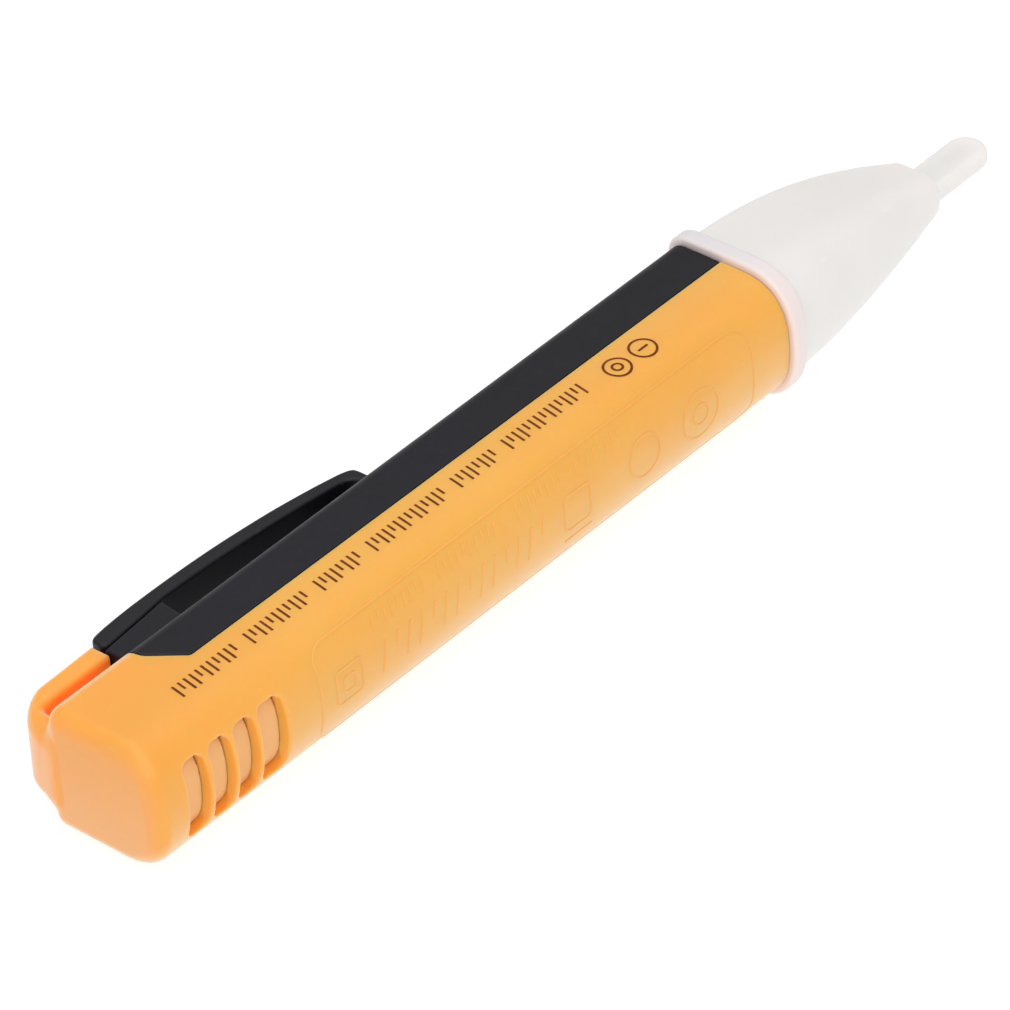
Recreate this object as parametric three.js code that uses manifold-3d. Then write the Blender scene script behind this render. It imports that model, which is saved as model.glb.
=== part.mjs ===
// Pen-shaped non contact voltage tester, in millimetres.
// +X runs from the rear end face to the blade tip, +Y is the front (clip and button side),
// -Y is the rounded back, +Z is the upper flank when the tester lies on its side.
// The origin is the centre of the rear end face.
import * as THREE from 'three';
import { mergeVertices } from 'three/addons/utils/BufferGeometryUtils.js';
import Module from 'manifold-3d';

const wasm = await Module();
wasm.setup();

// ---------------------------------------------------------------- driving dimensions
const TOTAL_LENGTH = 152;          // rear end face to blade tip
const SLEEVE_LENGTH = 107.4;
const HALF_WIDTH = 8.0;            // body half size along Z
const FRONT_Y = 8.45;              // flat front face
const BACK_Y = -8.45;              // crown of the rounded back
const FLANK_END_Y = -1.5;          // where the flat flank turns into the rounded back
const CORNER_R = 2.0;              // front corners
const BACK_POWER = 2.5;            // superellipse power of the back
const WALL = 1.35;
const BACK_WALL = 1.05;            // thinner wall along the back, with the windows in it
const SEAM = 0.15;                 // visible seams between fixed pieces
const SPINE_T = 1.0;               // thickness of the front strip
const RIDGE_HALF = 5.0;            // ridge and clip half width
const RIDGE_FRONT_X = 15.1;
const BUTTON_X = 101;
const COLLAR_X0 = 107.65;
const COLLAR_X1 = 110.05;
const BLADE_Y = -1.3;              // centre line of the blade
const CELL_R = 5.25;
const CELL_LENGTH = 44.5;
const REAR_CELL_X = 7.5;
const FRONT_CELL_X = REAR_CELL_X + CELL_LENGTH + 0.1;
const CUT_HALF = 12;               // half width of cutters that pass right through
const CUT_END = SLEEVE_LENGTH + 3; // front end of cutters that leave the sleeve

const FINISHES = {
  sleeve: { color: 0xfdb053, roughness: 0.42 },
  spine: { color: 0x33313b, roughness: 0.5 },
  clip: { color: 0x2e2d35, roughness: 0.5 },
  button: { color: 0x3a3842, roughness: 0.55 },
  collar: { color: 0xe6e6ea, roughness: 0.45 },
  nose: { color: 0xf2efee, roughness: 0.4 },
  tray: { color: 0xd9b98c, roughness: 0.6 },
  tongue: { color: 0xe0ae70, roughness: 0.55 },
  cellCan: { color: 0xc8cacc, roughness: 0.3, metalness: 0.9 },
  cellJacket: { color: 0x3c6e8f, roughness: 0.35 },
  spring: { color: 0xc9ccd0, roughness: 0.25, metalness: 1 },
  contact: { color: 0xc2c6ca, roughness: 0.3, metalness: 1 },
  board: { color: 0x1f6b3a, roughness: 0.45 },
  switchBody: { color: 0x2a2a2c, roughness: 0.5 },
  plunger: { color: 0x6b4a2c, roughness: 0.5 },
  led: { color: 0xd94a3a, roughness: 0.2 },
  buzzer: { color: 0x1d1d20, roughness: 0.5 },
  chip: { color: 0x222226, roughness: 0.45 },
  capacitor: { color: 0x23314f, roughness: 0.35, metalness: 0.2 },
  resistor: { color: 0x2b2b2e, roughness: 0.4 },
  antenna: { color: 0xc79a3e, roughness: 0.3, metalness: 1 },
};

// ---------------------------------------------------------------- solids and meshes
function solid(geometry) {
  geometry.deleteAttribute('normal');
  geometry.deleteAttribute('uv');
  const merged = mergeVertices(geometry, 1e-5);
  return new wasm.Manifold(new wasm.Mesh({
    numProp: 3,
    vertProperties: new Float32Array(merged.attributes.position.array),
    triVerts: new Uint32Array(merged.index.array),
  }));
}

function indexedGeometry(positions, indices) {
  const geometry = new THREE.BufferGeometry();
  geometry.setAttribute('position', new THREE.BufferAttribute(new Float32Array(positions), 3));
  geometry.setIndex(new THREE.BufferAttribute(new Uint32Array(indices), 1));
  return geometry;
}

const model = new THREE.Group();

function add(name, body, finish) {
  const { vertProperties, triVerts } = body.getMesh();
  const geometry = indexedGeometry(vertProperties, triVerts);
  geometry.computeVertexNormals();
  const mesh = new THREE.Mesh(geometry, new THREE.MeshStandardMaterial(finish));
  mesh.name = name;
  model.add(mesh);
}

// ---------------------------------------------------------------- cross sections, as [y, z]
// Flat front, round front corners, flat flanks, superellipse back.
function outline({ halfWidth, front, back, cornerR, cornerSteps = 3, backSteps = 14 }) {
  const cornerZ = halfWidth - cornerR;
  const cornerPoint = (i, side) => {
    const angle = (Math.PI / 2) * (i / cornerSteps);
    return [front - cornerR + cornerR * Math.cos(angle),
      side * (cornerZ + cornerR * Math.sin(angle))];
  };
  const points = [[front, -cornerZ], [front, cornerZ]];
  for (let i = 1; i <= cornerSteps; i++) points.push(cornerPoint(i, 1));
  const exponent = 2 / BACK_POWER;
  for (let i = 0; i <= backSteps; i++) {
    const angle = Math.PI * (i / backSteps);
    const cos = Math.cos(angle);
    points.push([
      FLANK_END_Y - (FLANK_END_Y - back) * Math.pow(Math.abs(Math.sin(angle)), exponent),
      halfWidth * Math.sign(cos) * Math.pow(Math.abs(cos), exponent),
    ]);
  }
  for (let i = cornerSteps; i >= 1; i--) points.push(cornerPoint(i, -1));
  return points;
}

// Body section, grown outwards by offset (negative shrinks it).
const bodyOutline = (offset = 0) => outline({
  halfWidth: HALF_WIDTH + offset,
  front: FRONT_Y + offset,
  back: BACK_Y - offset,
  cornerR: Math.max(0.3, CORNER_R + offset),
});

// Section with small chamfers in place of round front corners.
const sharpOutline = (halfWidth, front, back, backSteps = 14) =>
  outline({ halfWidth, front, back, cornerR: 0.3, cornerSteps: 1, backSteps });

// ---------------------------------------------------------------- shape helpers
// Ranges are [low, high] pairs.

// Closed loft through sections { x, points } placed at increasing X.
function loft(sections) {
  const count = sections[0].points.length;
  const last = sections.length - 1;
  const positions = sections.flatMap(({ x, points }) => points.flatMap(([y, z]) => [x, y, z]));
  const faces = [];
  for (let i = 0; i < last; i++) {
    for (let j = 0; j < count; j++) {
      const a = i * count + j;
      const b = i * count + (j + 1) % count;
      faces.push(a, b, a + count, b, b + count, a + count);
    }
  }
  // end caps fan out from the mean point of the section
  for (const i of [0, last]) {
    let meanY = 0;
    let meanZ = 0;
    for (const [y, z] of sections[i].points) {
      meanY += y / count;
      meanZ += z / count;
    }
    const centre = positions.length / 3;
    positions.push(sections[i].x, meanY, meanZ);
    for (let j = 0; j < count; j++) {
      const a = i * count + j;
      const b = i * count + (j + 1) % count;
      if (i === 0) faces.push(centre, b, a);
      else faces.push(centre, a, b);
    }
  }
  return solid(indexedGeometry(positions, faces));
}

const prism = (x0, x1, points) => loft([{ x: x0, points }, { x: x1, points }]);

function box([x0, x1], [y0, y1], [z0, z1]) {
  const geometry = new THREE.BoxGeometry(x1 - x0, y1 - y0, z1 - z0);
  geometry.translate((x0 + x1) / 2, (y0 + y1) / 2, (z0 + z1) / 2);
  return solid(geometry);
}

const centredBox = (xs, ys, halfZ) => box(xs, ys, [-halfZ, halfZ]);

// The same box on both sides of the XY plane.
const pairedBoxes = (xs, ys, [z0, z1]) => box(xs, ys, [z0, z1]).add(box(xs, ys, [-z1, -z0]));

const polygon = (points) => new THREE.Shape(points.map(([x, y]) => new THREE.Vector2(x, y)));

// Shape in the XY plane, extruded from -halfZ to halfZ.
function extrudeXY(shape, halfZ, { bevel = 0, curveSegments = 6 } = {}) {
  const geometry = new THREE.ExtrudeGeometry(shape, {
    depth: 2 * (halfZ - bevel),
    bevelEnabled: bevel > 0,
    bevelThickness: bevel,
    bevelSize: bevel,
    bevelOffset: -bevel,
    bevelSegments: 2,
    curveSegments,
    steps: 1,
  });
  geometry.translate(0, 0, bevel - halfZ);
  return geometry;
}

const plateXY = (shape, halfZ, options) => solid(extrudeXY(shape, halfZ, options));

// Shape drawn as (x, z), extruded from y0 to y1.
function plateXZ(shape, [y0, y1]) {
  const geometry = new THREE.ExtrudeGeometry(shape,
    { depth: y1 - y0, bevelEnabled: false, curveSegments: 4, steps: 1 });
  geometry.rotateX(Math.PI / 2);   // the extrusion now runs towards -Y
  geometry.translate(0, y1, 0);
  return solid(geometry);
}

function roundedRect([x0, x1], halfZ, r) {
  const shape = new THREE.Shape();
  const centres = [[x1 - r, r - halfZ], [x1 - r, halfZ - r], [x0 + r, halfZ - r], [x0 + r, r - halfZ]];
  centres.forEach(([x, z], i) => {
    shape.absarc(x, z, r, (i - 1) * Math.PI / 2, i * Math.PI / 2, false);
  });
  return shape;
}

// Turned pieces: profiles of [radius, distance along the axis].
const lathe = (profile, segments) =>
  new THREE.LatheGeometry(profile.map(([r, h]) => new THREE.Vector2(r, h)), segments);

const turnedY = (profile, x, segments) => solid(lathe(profile, segments).translate(x, 0, 0));

const turnedX = (profile, y, segments) =>
  solid(lathe(profile, segments).rotateZ(-Math.PI / 2).translate(0, y, 0));

const rodProfile = (r, start, end) => [[0, start], [r, start], [r, end], [0, end]];

// Cylinder on the axis of the button.
const buttonCylinder = (r, y0, y1, segments) => turnedY(rodProfile(r, y0, y1), BUTTON_X, segments);

// ---------------------------------------------------------------- outer sleeve
const REAR_WALL = 1.6;
const REAR_FILLET = 2.8;
const RIDGE_TOP_Y = 14.42;
const RIDGE_BASE_Y = 5.9;
const RIDGE_REAR = { x: 7.3, y: RIDGE_TOP_Y - 0.22, r: 6.7 };  // start of the rounded rear corner
const SLOT = { x: 4.0, y0: FRONT_Y, y1: 11.6, r: 0.9 };
const WINDOWS = [[5.1, 8.4], [9.2, 12.4], [13.15, 16.35], [17.05, 20.9]];  // X ranges
const WINDOW_HALF = 4.9;
const WINDOW_R = 0.6;

// Sleeve body with a filleted rear end.
function sleeveBody() {
  const steps = 4;
  const sections = [];
  for (let i = 0; i <= steps; i++) {
    const angle = (Math.PI / 2) * (i / steps);
    sections.push({
      x: REAR_FILLET * (1 - Math.cos(angle)),
      points: bodyOutline(-REAR_FILLET * (1 - Math.sin(angle))),
    });
  }
  return loft([...sections, { x: SLEEVE_LENGTH, points: bodyOutline() }]);
}

// Ridge on the front face, behind the clip.
function ridge() {
  const { x, y, r } = RIDGE_REAR;
  const shape = new THREE.Shape();
  shape.moveTo(2.4, RIDGE_BASE_Y);
  shape.lineTo(RIDGE_FRONT_X, RIDGE_BASE_Y);
  shape.lineTo(RIDGE_FRONT_X, RIDGE_TOP_Y);
  shape.lineTo(x, y);
  shape.absarc(x, y - r, r, Math.PI / 2, Math.PI, false);
  shape.lineTo(1.1, 6.3);
  // the box squares off the bevelled front end, where it meets the clip
  return plateXY(shape, RIDGE_HALF, { bevel: 0.7, curveSegments: 8 })
    .add(centredBox([10, RIDGE_FRONT_X], [11.9, 13.7], RIDGE_HALF));
}

// Strap slot across the ridge, running out past its front end.
function strapSlot() {
  const { x, y0, y1, r } = SLOT;
  const shape = new THREE.Shape();
  shape.moveTo(x + r, y0);
  shape.lineTo(RIDGE_FRONT_X + 2, y0);
  shape.lineTo(RIDGE_FRONT_X + 2, y1);
  shape.absarc(x + r, y1 - r, r, Math.PI / 2, Math.PI, false);
  shape.absarc(x + r, y0 + r, r, Math.PI, Math.PI * 1.5, false);
  return plateXY(shape, CUT_HALF, { curveSegments: 4 });
}

// Region of the front strip as seen on the flank, widened by gap.
const spineRegion = (gap) => plateXY(polygon([
  [CUT_END - 1, 1.35 - gap], [17.4 - 0.4 * gap, 1.8 - gap], [14.0 - gap, 6.2 - 0.3 * gap],
  [14.2 - gap, 7.5], [14.2 - gap, 12], [CUT_END - 1, 12],
]), CUT_HALF);

function outerSleeve() {
  const backChamber = prism(REAR_WALL, CUT_END,
    sharpOutline(HALF_WIDTH - WALL, 1.0, BACK_Y + BACK_WALL));
  const frontChamber = centredBox([REAR_WALL, CUT_END],
    [0.5, FRONT_Y - SPINE_T - 0.05 - WALL], 5.6);
  const spineRecess = spineRegion(SEAM)
    .subtract(prism(0, CUT_END, bodyOutline(-SPINE_T - 0.07)))
    .subtract(centredBox([-1, RIDGE_FRONT_X], [5, 20], RIDGE_HALF + SEAM));
  let sleeve = sleeveBody()
    .add(ridge())
    .subtract(strapSlot())
    .subtract(backChamber)
    .subtract(frontChamber)
    .subtract(spineRecess);
  for (const xs of WINDOWS) {
    sleeve = sleeve.subtract(plateXZ(roundedRect(xs, WINDOW_HALF, WINDOW_R), [-12, -5.6]));
  }
  // button seat and the smaller hole through its floor
  return sleeve
    .subtract(buttonCylinder(3.8, 6.55, 9, 18))
    .subtract(buttonCylinder(1.5, 5, 9, 12));
}

// ---------------------------------------------------------------- front strip and clip
const SPINE_END = SLEEVE_LENGTH - 0.1;
const PEDESTAL_X = RIDGE_FRONT_X + SEAM + 0.05;
const PEDESTAL = [ // side view, [x, y]
  [PEDESTAL_X, 8.1], [25.3, 8.1], [25.55, 8.45], [25.0, 10.5], [25.3, 13.42], [PEDESTAL_X, 12.55],
];
const CLIP = [ // side view, [x, y]: inner edge forwards, round the hooked tip, outer edge back
  [15.6, 12.85], [20.6, 13.3], [25.7, 13.72], [30, 13.66], [35, 13.46], [40, 13.12],
  [45, 12.66], [48.4, 12.32], [50.7, 12.02], [53.2, 11.7], [54.3, 11.35], [54.9, 10.4],
  [55.1, 9.4], [55.5, 8.8], [56.1, 8.8], [56.4, 9.5], [56.4, 11.2], [56.0, 12.2],
  [55.4, 12.75], [53.3, 13.28], [49.4, 13.98], [45.4, 14.59], [41.2, 15.02], [37, 15.37],
  [32.6, 15.59], [28.1, 15.7], [23.6, 15.7], [18.8, 15.5], [16.4, 15.27], [15.6, 14.8],
];
const CLIP_TAPER = { startX: 20, length: 36, depth: 0.12 };  // depth: loss of half width

// Front strip with the clip pedestal and the button hole.
function frontSpine() {
  return prism(12, SPINE_END, bodyOutline())
    .subtract(prism(0, CUT_END, bodyOutline(-SPINE_T)))
    .intersect(spineRegion(0))
    .subtract(centredBox([0, PEDESTAL_X], [5, 20], RIDGE_HALF + 0.3))
    .add(plateXY(polygon(PEDESTAL), RIDGE_HALF))
    .subtract(buttonCylinder(2.85, 6, 10, 20));
}

function pocketClip() {
  const geometry = extrudeXY(polygon(CLIP), 1);
  const position = geometry.attributes.position;
  const { startX, length, depth } = CLIP_TAPER;
  for (let i = 0; i < position.count; i++) {
    const t = THREE.MathUtils.clamp((position.getX(i) - startX) / length, 0, 1);
    position.setZ(i, position.getZ(i) * (RIDGE_HALF - depth * t * t));
  }
  return solid(geometry);
}

// ---------------------------------------------------------------- power button
const BUTTON_PROFILE = [ // stem, flange, cap
  [0, 5.75], [1.2, 5.75], [1.2, 6.95], [3.5, 6.95], [3.5, 7.3], [2.6, 7.3], [2.6, 8.5],
  [2.3, 8.7], [0, 8.7],
];

// ---------------------------------------------------------------- collar and nose
const COLLAR = [ // x, how far it stands proud of the body
  [COLLAR_X0, 0.3], [107.95, 0.72], [108.35, 0.85], [109.35, 0.85], [109.8, 0.68],
  [COLLAR_X1, 0.2],
];
const NOSE_X0 = COLLAR_X1 + SEAM;
const NOSE = [ // x, front y, back y, half width, front corner radius
  [108, 8.2, -8.32, 7.85, 2.0],
  [111, 8.2, -8.3, 7.8, 2.0],
  [115, 8.14, -8.12, 7.62, 2.1],
  [118.5, 8.02, -7.82, 7.32, 2.15],
  [122, 7.8, -7.4, 6.9, 2.2],
  [126.5, 7.22, -6.8, 6.2, 2.2],
  [131, 6.35, -6.1, 5.3, 2.2],
  [135, 5.05, -5.5, 4.35, 1.95],
  [138, 3.75, -4.98, 3.58, 1.7],
  [139.6, 2.9, -4.68, 3.15, 1.5],
  [140.35, 2.35, -4.5, 2.95, 1.3],
  [140.7, 1.8, -4.25, 2.7, 1.1],
];
const NOSE_WALL = 1.3;
const NOSE_CAVITY_XS = [109, 115, 122, 131, 135, 136.5];
const BLADE = { x: 138.5, halfWidth: 2.6, halfThickness: 1.3, bevel: 0.8 };

function tipCollar() {
  return loft(COLLAR.map(([x, proud]) => ({ x, points: bodyOutline(proud) })))
    .subtract(prism(COLLAR_X0 - 1, COLLAR_X1 + 1, bodyOutline(-WALL)));
}

// Nose section at x, interpolated between the two stations around it.
function noseSection(x, inset = 0) {
  const next = NOSE.findIndex(([stationX]) => stationX >= x);
  const a = NOSE[next - 1];
  const b = NOSE[next];
  const t = (x - a[0]) / (b[0] - a[0]);
  const [front, back, halfWidth, cornerR] = [1, 2, 3, 4].map((k) => a[k] + (b[k] - a[k]) * t);
  const points = outline({
    halfWidth: halfWidth - inset,
    front: front - inset,
    back: back + inset,
    cornerR: Math.max(0.4, cornerR - inset),
  });
  return { x, points };
}

function blade() {
  const { x, halfWidth, halfThickness, bevel } = BLADE;
  const arcX = TOTAL_LENGTH - halfWidth;
  const shape = new THREE.Shape();
  shape.moveTo(x, BLADE_Y - halfWidth);
  shape.lineTo(arcX, BLADE_Y - halfWidth);
  shape.absarc(arcX, BLADE_Y, halfWidth, -Math.PI / 2, Math.PI / 2, false);
  shape.lineTo(x, BLADE_Y + halfWidth);
  return plateXY(shape, halfThickness, { bevel, curveSegments: 10 });
}

function noseCone() {
  const xs = [NOSE_X0, ...NOSE.slice(1).map(([x]) => x)];
  return loft(xs.map((x) => noseSection(x)))
    .add(blade())
    .subtract(loft(NOSE_CAVITY_XS.map((x) => noseSection(x, NOSE_WALL))))
    // antenna pocket
    .subtract(centredBox([135, 149], [BLADE_Y - 1.2, BLADE_Y + 1.2], 0.45));
}

// ---------------------------------------------------------------- inner carrier
const TRAY_WALL_XS = [97.3, 98.5];      // wall ahead of the front cell
const CRADLE_XS = [30, 46, 57, 90];
const CRADLE_T = 1;
const CRADLE_BORE_R = CELL_R + 0.15;
const TRAY_REAR_XS = [2.2, 3.2];
const RAIL_YS = [-1.6, 0.6];
const POST_XS = [100, 105];
const POST_LENGTH = 1.8;
const TONGUE = {
  x0: 3.5, x1: 24.0, thickness: 0.8, halfWidth: HALF_WIDTH - WALL - 0.15,
  back: BACK_Y + BACK_WALL + 0.15,
};

const trayOuter = (x0, x1, inset) => prism(x0, x1, sharpOutline(6.35 - inset, 0.6, -6.8 + inset, 12));
const trayInner = (x0, x1, inset) => prism(x0, x1, sharpOutline(5.55 - inset, 3.0, -6.0 + inset, 12));

// Cross ribs shaped to the cells.
function cradles() {
  return CRADLE_XS
    .map((x) => centredBox([x, x + CRADLE_T], [-6.3, -1.2], 5.8))
    .reduce((ribs, rib) => ribs.add(rib))
    .intersect(trayOuter(25, 97, 0.2))
    .subtract(turnedX(rodProfile(CRADLE_BORE_R, 20, 96), 0, 20));
}

function chassisTray() {
  const [wallX0, wallX1] = TRAY_WALL_XS;
  const frontTrough = trayOuter(wallX0, 113, 0.45).subtract(trayInner(wallX1, 114, 0.45));
  let tray = trayOuter(24.4, wallX1, 0)
    .subtract(trayInner(20, wallX0, 0))
    .add(cradles())
    .add(frontTrough)
    .add(centredBox(TRAY_WALL_XS, [0.2, 5.6], 5.2))
    // side rails to the rear, joined by a cross bar and an end plate
    .add(pairedBoxes([TRAY_REAR_XS[0], 25.2], RAIL_YS, [5.6, 6.3]))
    .add(centredBox(TRAY_REAR_XS, RAIL_YS, 6.2))
    .add(centredBox(TRAY_REAR_XS, [-4.4, 5.0], 5.2));
  // posts under the circuit board
  for (const x of POST_XS) {
    tray = tray.add(pairedBoxes([x, x + POST_LENGTH], [-1.0, 1.75], [4.4, 5.25]));
  }
  // passages for the return strip and the front contact tab
  return tray
    .subtract(box([96, 99], [2.9, 5.5], [4.3, 5.1]))
    .subtract(box([96, 99], [3.0, 3.75], [-4.9, -2.7]));
}

// Latch tongue under the windows, following the back wall.
function releaseTongue() {
  const { x0, x1, thickness, halfWidth, back } = TONGUE;
  return prism(x0, x1, sharpOutline(halfWidth, 3, back))
    .subtract(prism(0, 30, sharpOutline(halfWidth - thickness, 5, back + thickness)))
    .intersect(centredBox([0, 30], [-9, -2.6], 9));
}

// ---------------------------------------------------------------- cells
const CELL_SEGMENTS = 20;

// Metal can with the raised terminal at its front end.
function cellCan(x) {
  const end = x + CELL_LENGTH;
  return turnedX([
    [0, x], [4.4, x], [4.95, x + 0.25], [4.95, end - 1.1], [4.6, end - 0.85],
    [1.9, end - 0.85], [1.9, end - 0.15], [1.7, end], [0, end],
  ], 0, CELL_SEGMENTS);
}

function cellJacket(x) {
  const innerR = 5.05;
  const start = x + 0.5;
  const end = x + CELL_LENGTH - 1.3;
  return turnedX([[innerR, start], [CELL_R, start], [CELL_R, end], [innerR, end],
    [innerR, start]], 0, CELL_SEGMENTS);
}

// ---------------------------------------------------------------- contacts
const SPRING = { x: 4.05, length: 3.05, turns: 3.25, rearR: 3.5, narrowing: 1.3, wireR: 0.28 };
const REAR_PLATE_XS = [3.35, 3.65];
const FRONT_PLATE_X = 96.75;

// Conical coil, narrowing towards the front.
class Coil extends THREE.Curve {
  getPoint(t, target = new THREE.Vector3()) {
    const angle = 2 * Math.PI * SPRING.turns * t;
    const r = SPRING.rearR - SPRING.narrowing * t;
    return target.set(SPRING.x + SPRING.length * t, r * Math.cos(angle), r * Math.sin(angle));
  }
}

function rearSpring() {
  const wire = new THREE.Shape();
  wire.absarc(0, 0, SPRING.wireR, 0, 2 * Math.PI, false);
  return solid(new THREE.ExtrudeGeometry(wire,
    { steps: 44, bevelEnabled: false, extrudePath: new Coil(), curveSegments: 3 }));
}

// Each contact plate is a square with a small tab.
const rearContact = () => centredBox(REAR_PLATE_XS, [-3.9, 3.9], 3.9)
  .add(box(REAR_PLATE_XS, [2.9, 4.4], [3.5, 4.45]));

const frontContact = () => centredBox([FRONT_PLATE_X, FRONT_PLATE_X + 0.3], [-3.6, 3.6], 3.6)
  .add(box([FRONT_PLATE_X, 98.9], [3.2, 3.5], [-4.6, -3.0]));

const returnStrip = () => box([REAR_PLATE_XS[0], 99.6], [3.2, 5.1], [4.6, 4.9]);

// ---------------------------------------------------------------- electronics
const BOARD_YS = [1.9, 2.9];
const PART_Y = 3.0;                // foot of the parts on the board
const BOARD = [ // [x, z]
  [98.8, -5.2], [104.6, -5.2], [105.5, -4.3], [120, -4.3], [128, -3.0],
  [128, 3.0], [120, 4.3], [105.5, 4.3], [104.6, 5.2], [98.8, 5.2],
];
const LED_PROFILE = [
  [0, 128.4], [1.8, 128.4], [1.8, 129.2], [1.5, 129.2], [1.5, 132.2], [1.3, 133.0],
  [0.75, 133.6], [0, 133.75],
];
const BUZZER_PROFILE = [
  [0, -1.9], [0.8, -1.9], [0.8, -1.2], [1.2, -1.2], [1.2, -1.9], [4.1, -1.9],
  [4.4, -1.6], [4.4, 1.75], [0, 1.75],
];
const CAPACITOR_PROFILE = [
  [0, PART_Y], [1.7, PART_Y], [1.7, 3.5], [1.55, 3.65], [1.7, 3.8], [1.7, 5.8],
  [1.5, 6.0], [0, 6.0],
];
const PINS = { firstX: 112.1, pitch: 1.27, perSide: 4, halfWidth: 0.2 };
const RESISTORS = [[106.3, 1.2], [108.6, 1.2], [108.6, -2.4], [118.6, 1.8]];  // low corner [x, z]
const ANTENNA_Y0 = BLADE_Y - 0.9;
const ANTENNA_Y1 = BLADE_Y + 0.9;
const ANTENNA = [ // [x, y]
  [118.6, ANTENNA_Y0], [148, ANTENNA_Y0], [148.4, -1.8], [148.4, -0.8], [148, ANTENNA_Y1],
  [120.4, ANTENNA_Y1], [120.4, 1.75], [118.6, 1.75],
];

const switchBody = () => centredBox([BUTTON_X - 1.9, BUTTON_X + 1.9], [PART_Y, 4.6], 2.6)
  .subtract(buttonCylinder(1.05, 3.3, 5, 14));

function controllerChip() {
  let chip = centredBox([111.5, 116.5], [3.05, 4.4], 2.0);
  for (let i = 0; i < PINS.perSide; i++) {
    const x = PINS.firstX + i * PINS.pitch;
    chip = chip.add(pairedBoxes([x - PINS.halfWidth, x + PINS.halfWidth], [PART_Y, 3.6], [1.8, 3.0]));
  }
  return chip;
}

const resistor = (x, z) => box([x, x + 1.2], [PART_Y, 3.45], [z, z + 2.0]);

// ---------------------------------------------------------------- assembly
add('outer_sleeve', outerSleeve(), FINISHES.sleeve);
add('front_spine', frontSpine(), FINISHES.spine);
add('pocket_clip', pocketClip(), FINISHES.clip);
add('power_button', turnedY(BUTTON_PROFILE, BUTTON_X, 18), FINISHES.button);
add('tip_collar', tipCollar(), FINISHES.collar);
add('nose_cone', noseCone(), FINISHES.nose);
add('chassis_tray', chassisTray(), FINISHES.tray);
add('release_tongue', releaseTongue(), FINISHES.tongue);
for (const [place, x] of [['rear', REAR_CELL_X], ['front', FRONT_CELL_X]]) {
  add(`battery_${place}_can`, cellCan(x), FINISHES.cellCan);
  add(`battery_${place}_jacket`, cellJacket(x), FINISHES.cellJacket);
}
add('rear_spring_contact', rearSpring(), FINISHES.spring);
add('rear_contact_plate', rearContact(), FINISHES.contact);
add('front_contact_plate', frontContact(), FINISHES.contact);
add('battery_return_strip', returnStrip(), FINISHES.contact);
add('circuit_board', plateXZ(polygon(BOARD), BOARD_YS), FINISHES.board);
add('tact_switch_body', switchBody(), FINISHES.switchBody);
add('tact_switch_plunger', buttonCylinder(0.9, 3.75, 5.6, 14), FINISHES.plunger);
add('tip_led', turnedX(LED_PROFILE, 2.0, 16), FINISHES.led);
add('piezo_buzzer', turnedY(BUZZER_PROFILE, 111.5, 20), FINISHES.buzzer);
add('controller_chip', controllerChip(), FINISHES.chip);
add('filter_capacitor', turnedY(CAPACITOR_PROFILE, 121.5, 16), FINISHES.capacitor);
add('transistor', box([106.2, 107.6], [PART_Y, 3.95], [-3.2, -0.4]), FINISHES.chip);
RESISTORS.forEach(([x, z], i) => add(`resistor_${i + 1}`, resistor(x, z), FINISHES.resistor));
add('sensor_antenna', plateXY(polygon(ANTENNA), 0.25), FINISHES.antenna);

export default model;
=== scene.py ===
"""A slim hand-held tester with its cells and circuit board, on a light studio floor.

Lengths are millimetres unless a comment says otherwise; meshes are scaled to metres.
X runs from the rear end (0) to the blade's tip (152). +Y is the flat front with the strip,
clip and button, -Y is the rounded back, and Z is the width. It rests on its -Z flank.
"""
import math
from functools import reduce
import bmesh
import bpy
import numpy as np
from mathutils import Matrix, Vector


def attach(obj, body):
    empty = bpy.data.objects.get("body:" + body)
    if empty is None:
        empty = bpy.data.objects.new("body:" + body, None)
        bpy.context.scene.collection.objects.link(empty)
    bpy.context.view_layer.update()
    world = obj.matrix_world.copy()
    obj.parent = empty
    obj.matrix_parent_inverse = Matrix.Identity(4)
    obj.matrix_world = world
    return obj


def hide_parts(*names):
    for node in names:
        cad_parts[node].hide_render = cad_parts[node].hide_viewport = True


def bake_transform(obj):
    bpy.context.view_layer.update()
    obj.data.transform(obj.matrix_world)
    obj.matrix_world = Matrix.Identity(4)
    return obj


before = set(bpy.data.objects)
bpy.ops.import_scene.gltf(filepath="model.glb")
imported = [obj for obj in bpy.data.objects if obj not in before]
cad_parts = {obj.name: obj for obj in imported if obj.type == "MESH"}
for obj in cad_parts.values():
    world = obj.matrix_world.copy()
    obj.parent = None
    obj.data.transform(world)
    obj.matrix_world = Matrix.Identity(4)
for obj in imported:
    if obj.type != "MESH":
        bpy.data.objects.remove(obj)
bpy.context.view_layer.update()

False  # no step here has a shorter form, so the answer is not used

MM = 0.001

# Body section shared by sleeve, strip and collar
HALF_WIDTH = 8.0
FRONT_Y = 8.45
BACK_Y = -8.45
FLANK_Y = -1.5           # the flat flanks end and the curved back starts here
SECTION_POWER = 2.5      # superellipse power of the back
OPEN_Y = 20.0            # front level of a section that is cut open further down

SLEEVE_END = 107.4
RIDGE_END = 15.1         # front end of the sleeve's ridge, where the clip starts
CLIP_HALF = 5.0          # half width of clip, ridge and pedestal
BUTTON_X = 101
BLADE_Y = -1.3
WINDOWS = [(5.1, 8.15), (9.2, 12.2), (13.15, 16.15), (17.05, 20.65)]  # x spans, in the back


# ---------------------------------------------------------------- distance fields
# A field is negative inside its solid.
def meet(a, b, radius=0.0):
    """What two solids share, with the edge between them rounded."""
    if np.ndim(radius) == 0 and radius <= 0:
        return np.maximum(a, b)
    return (np.minimum(np.maximum(a, b), -radius)
            + np.hypot(np.maximum(a + radius, 0), np.maximum(b + radius, 0)))


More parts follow.
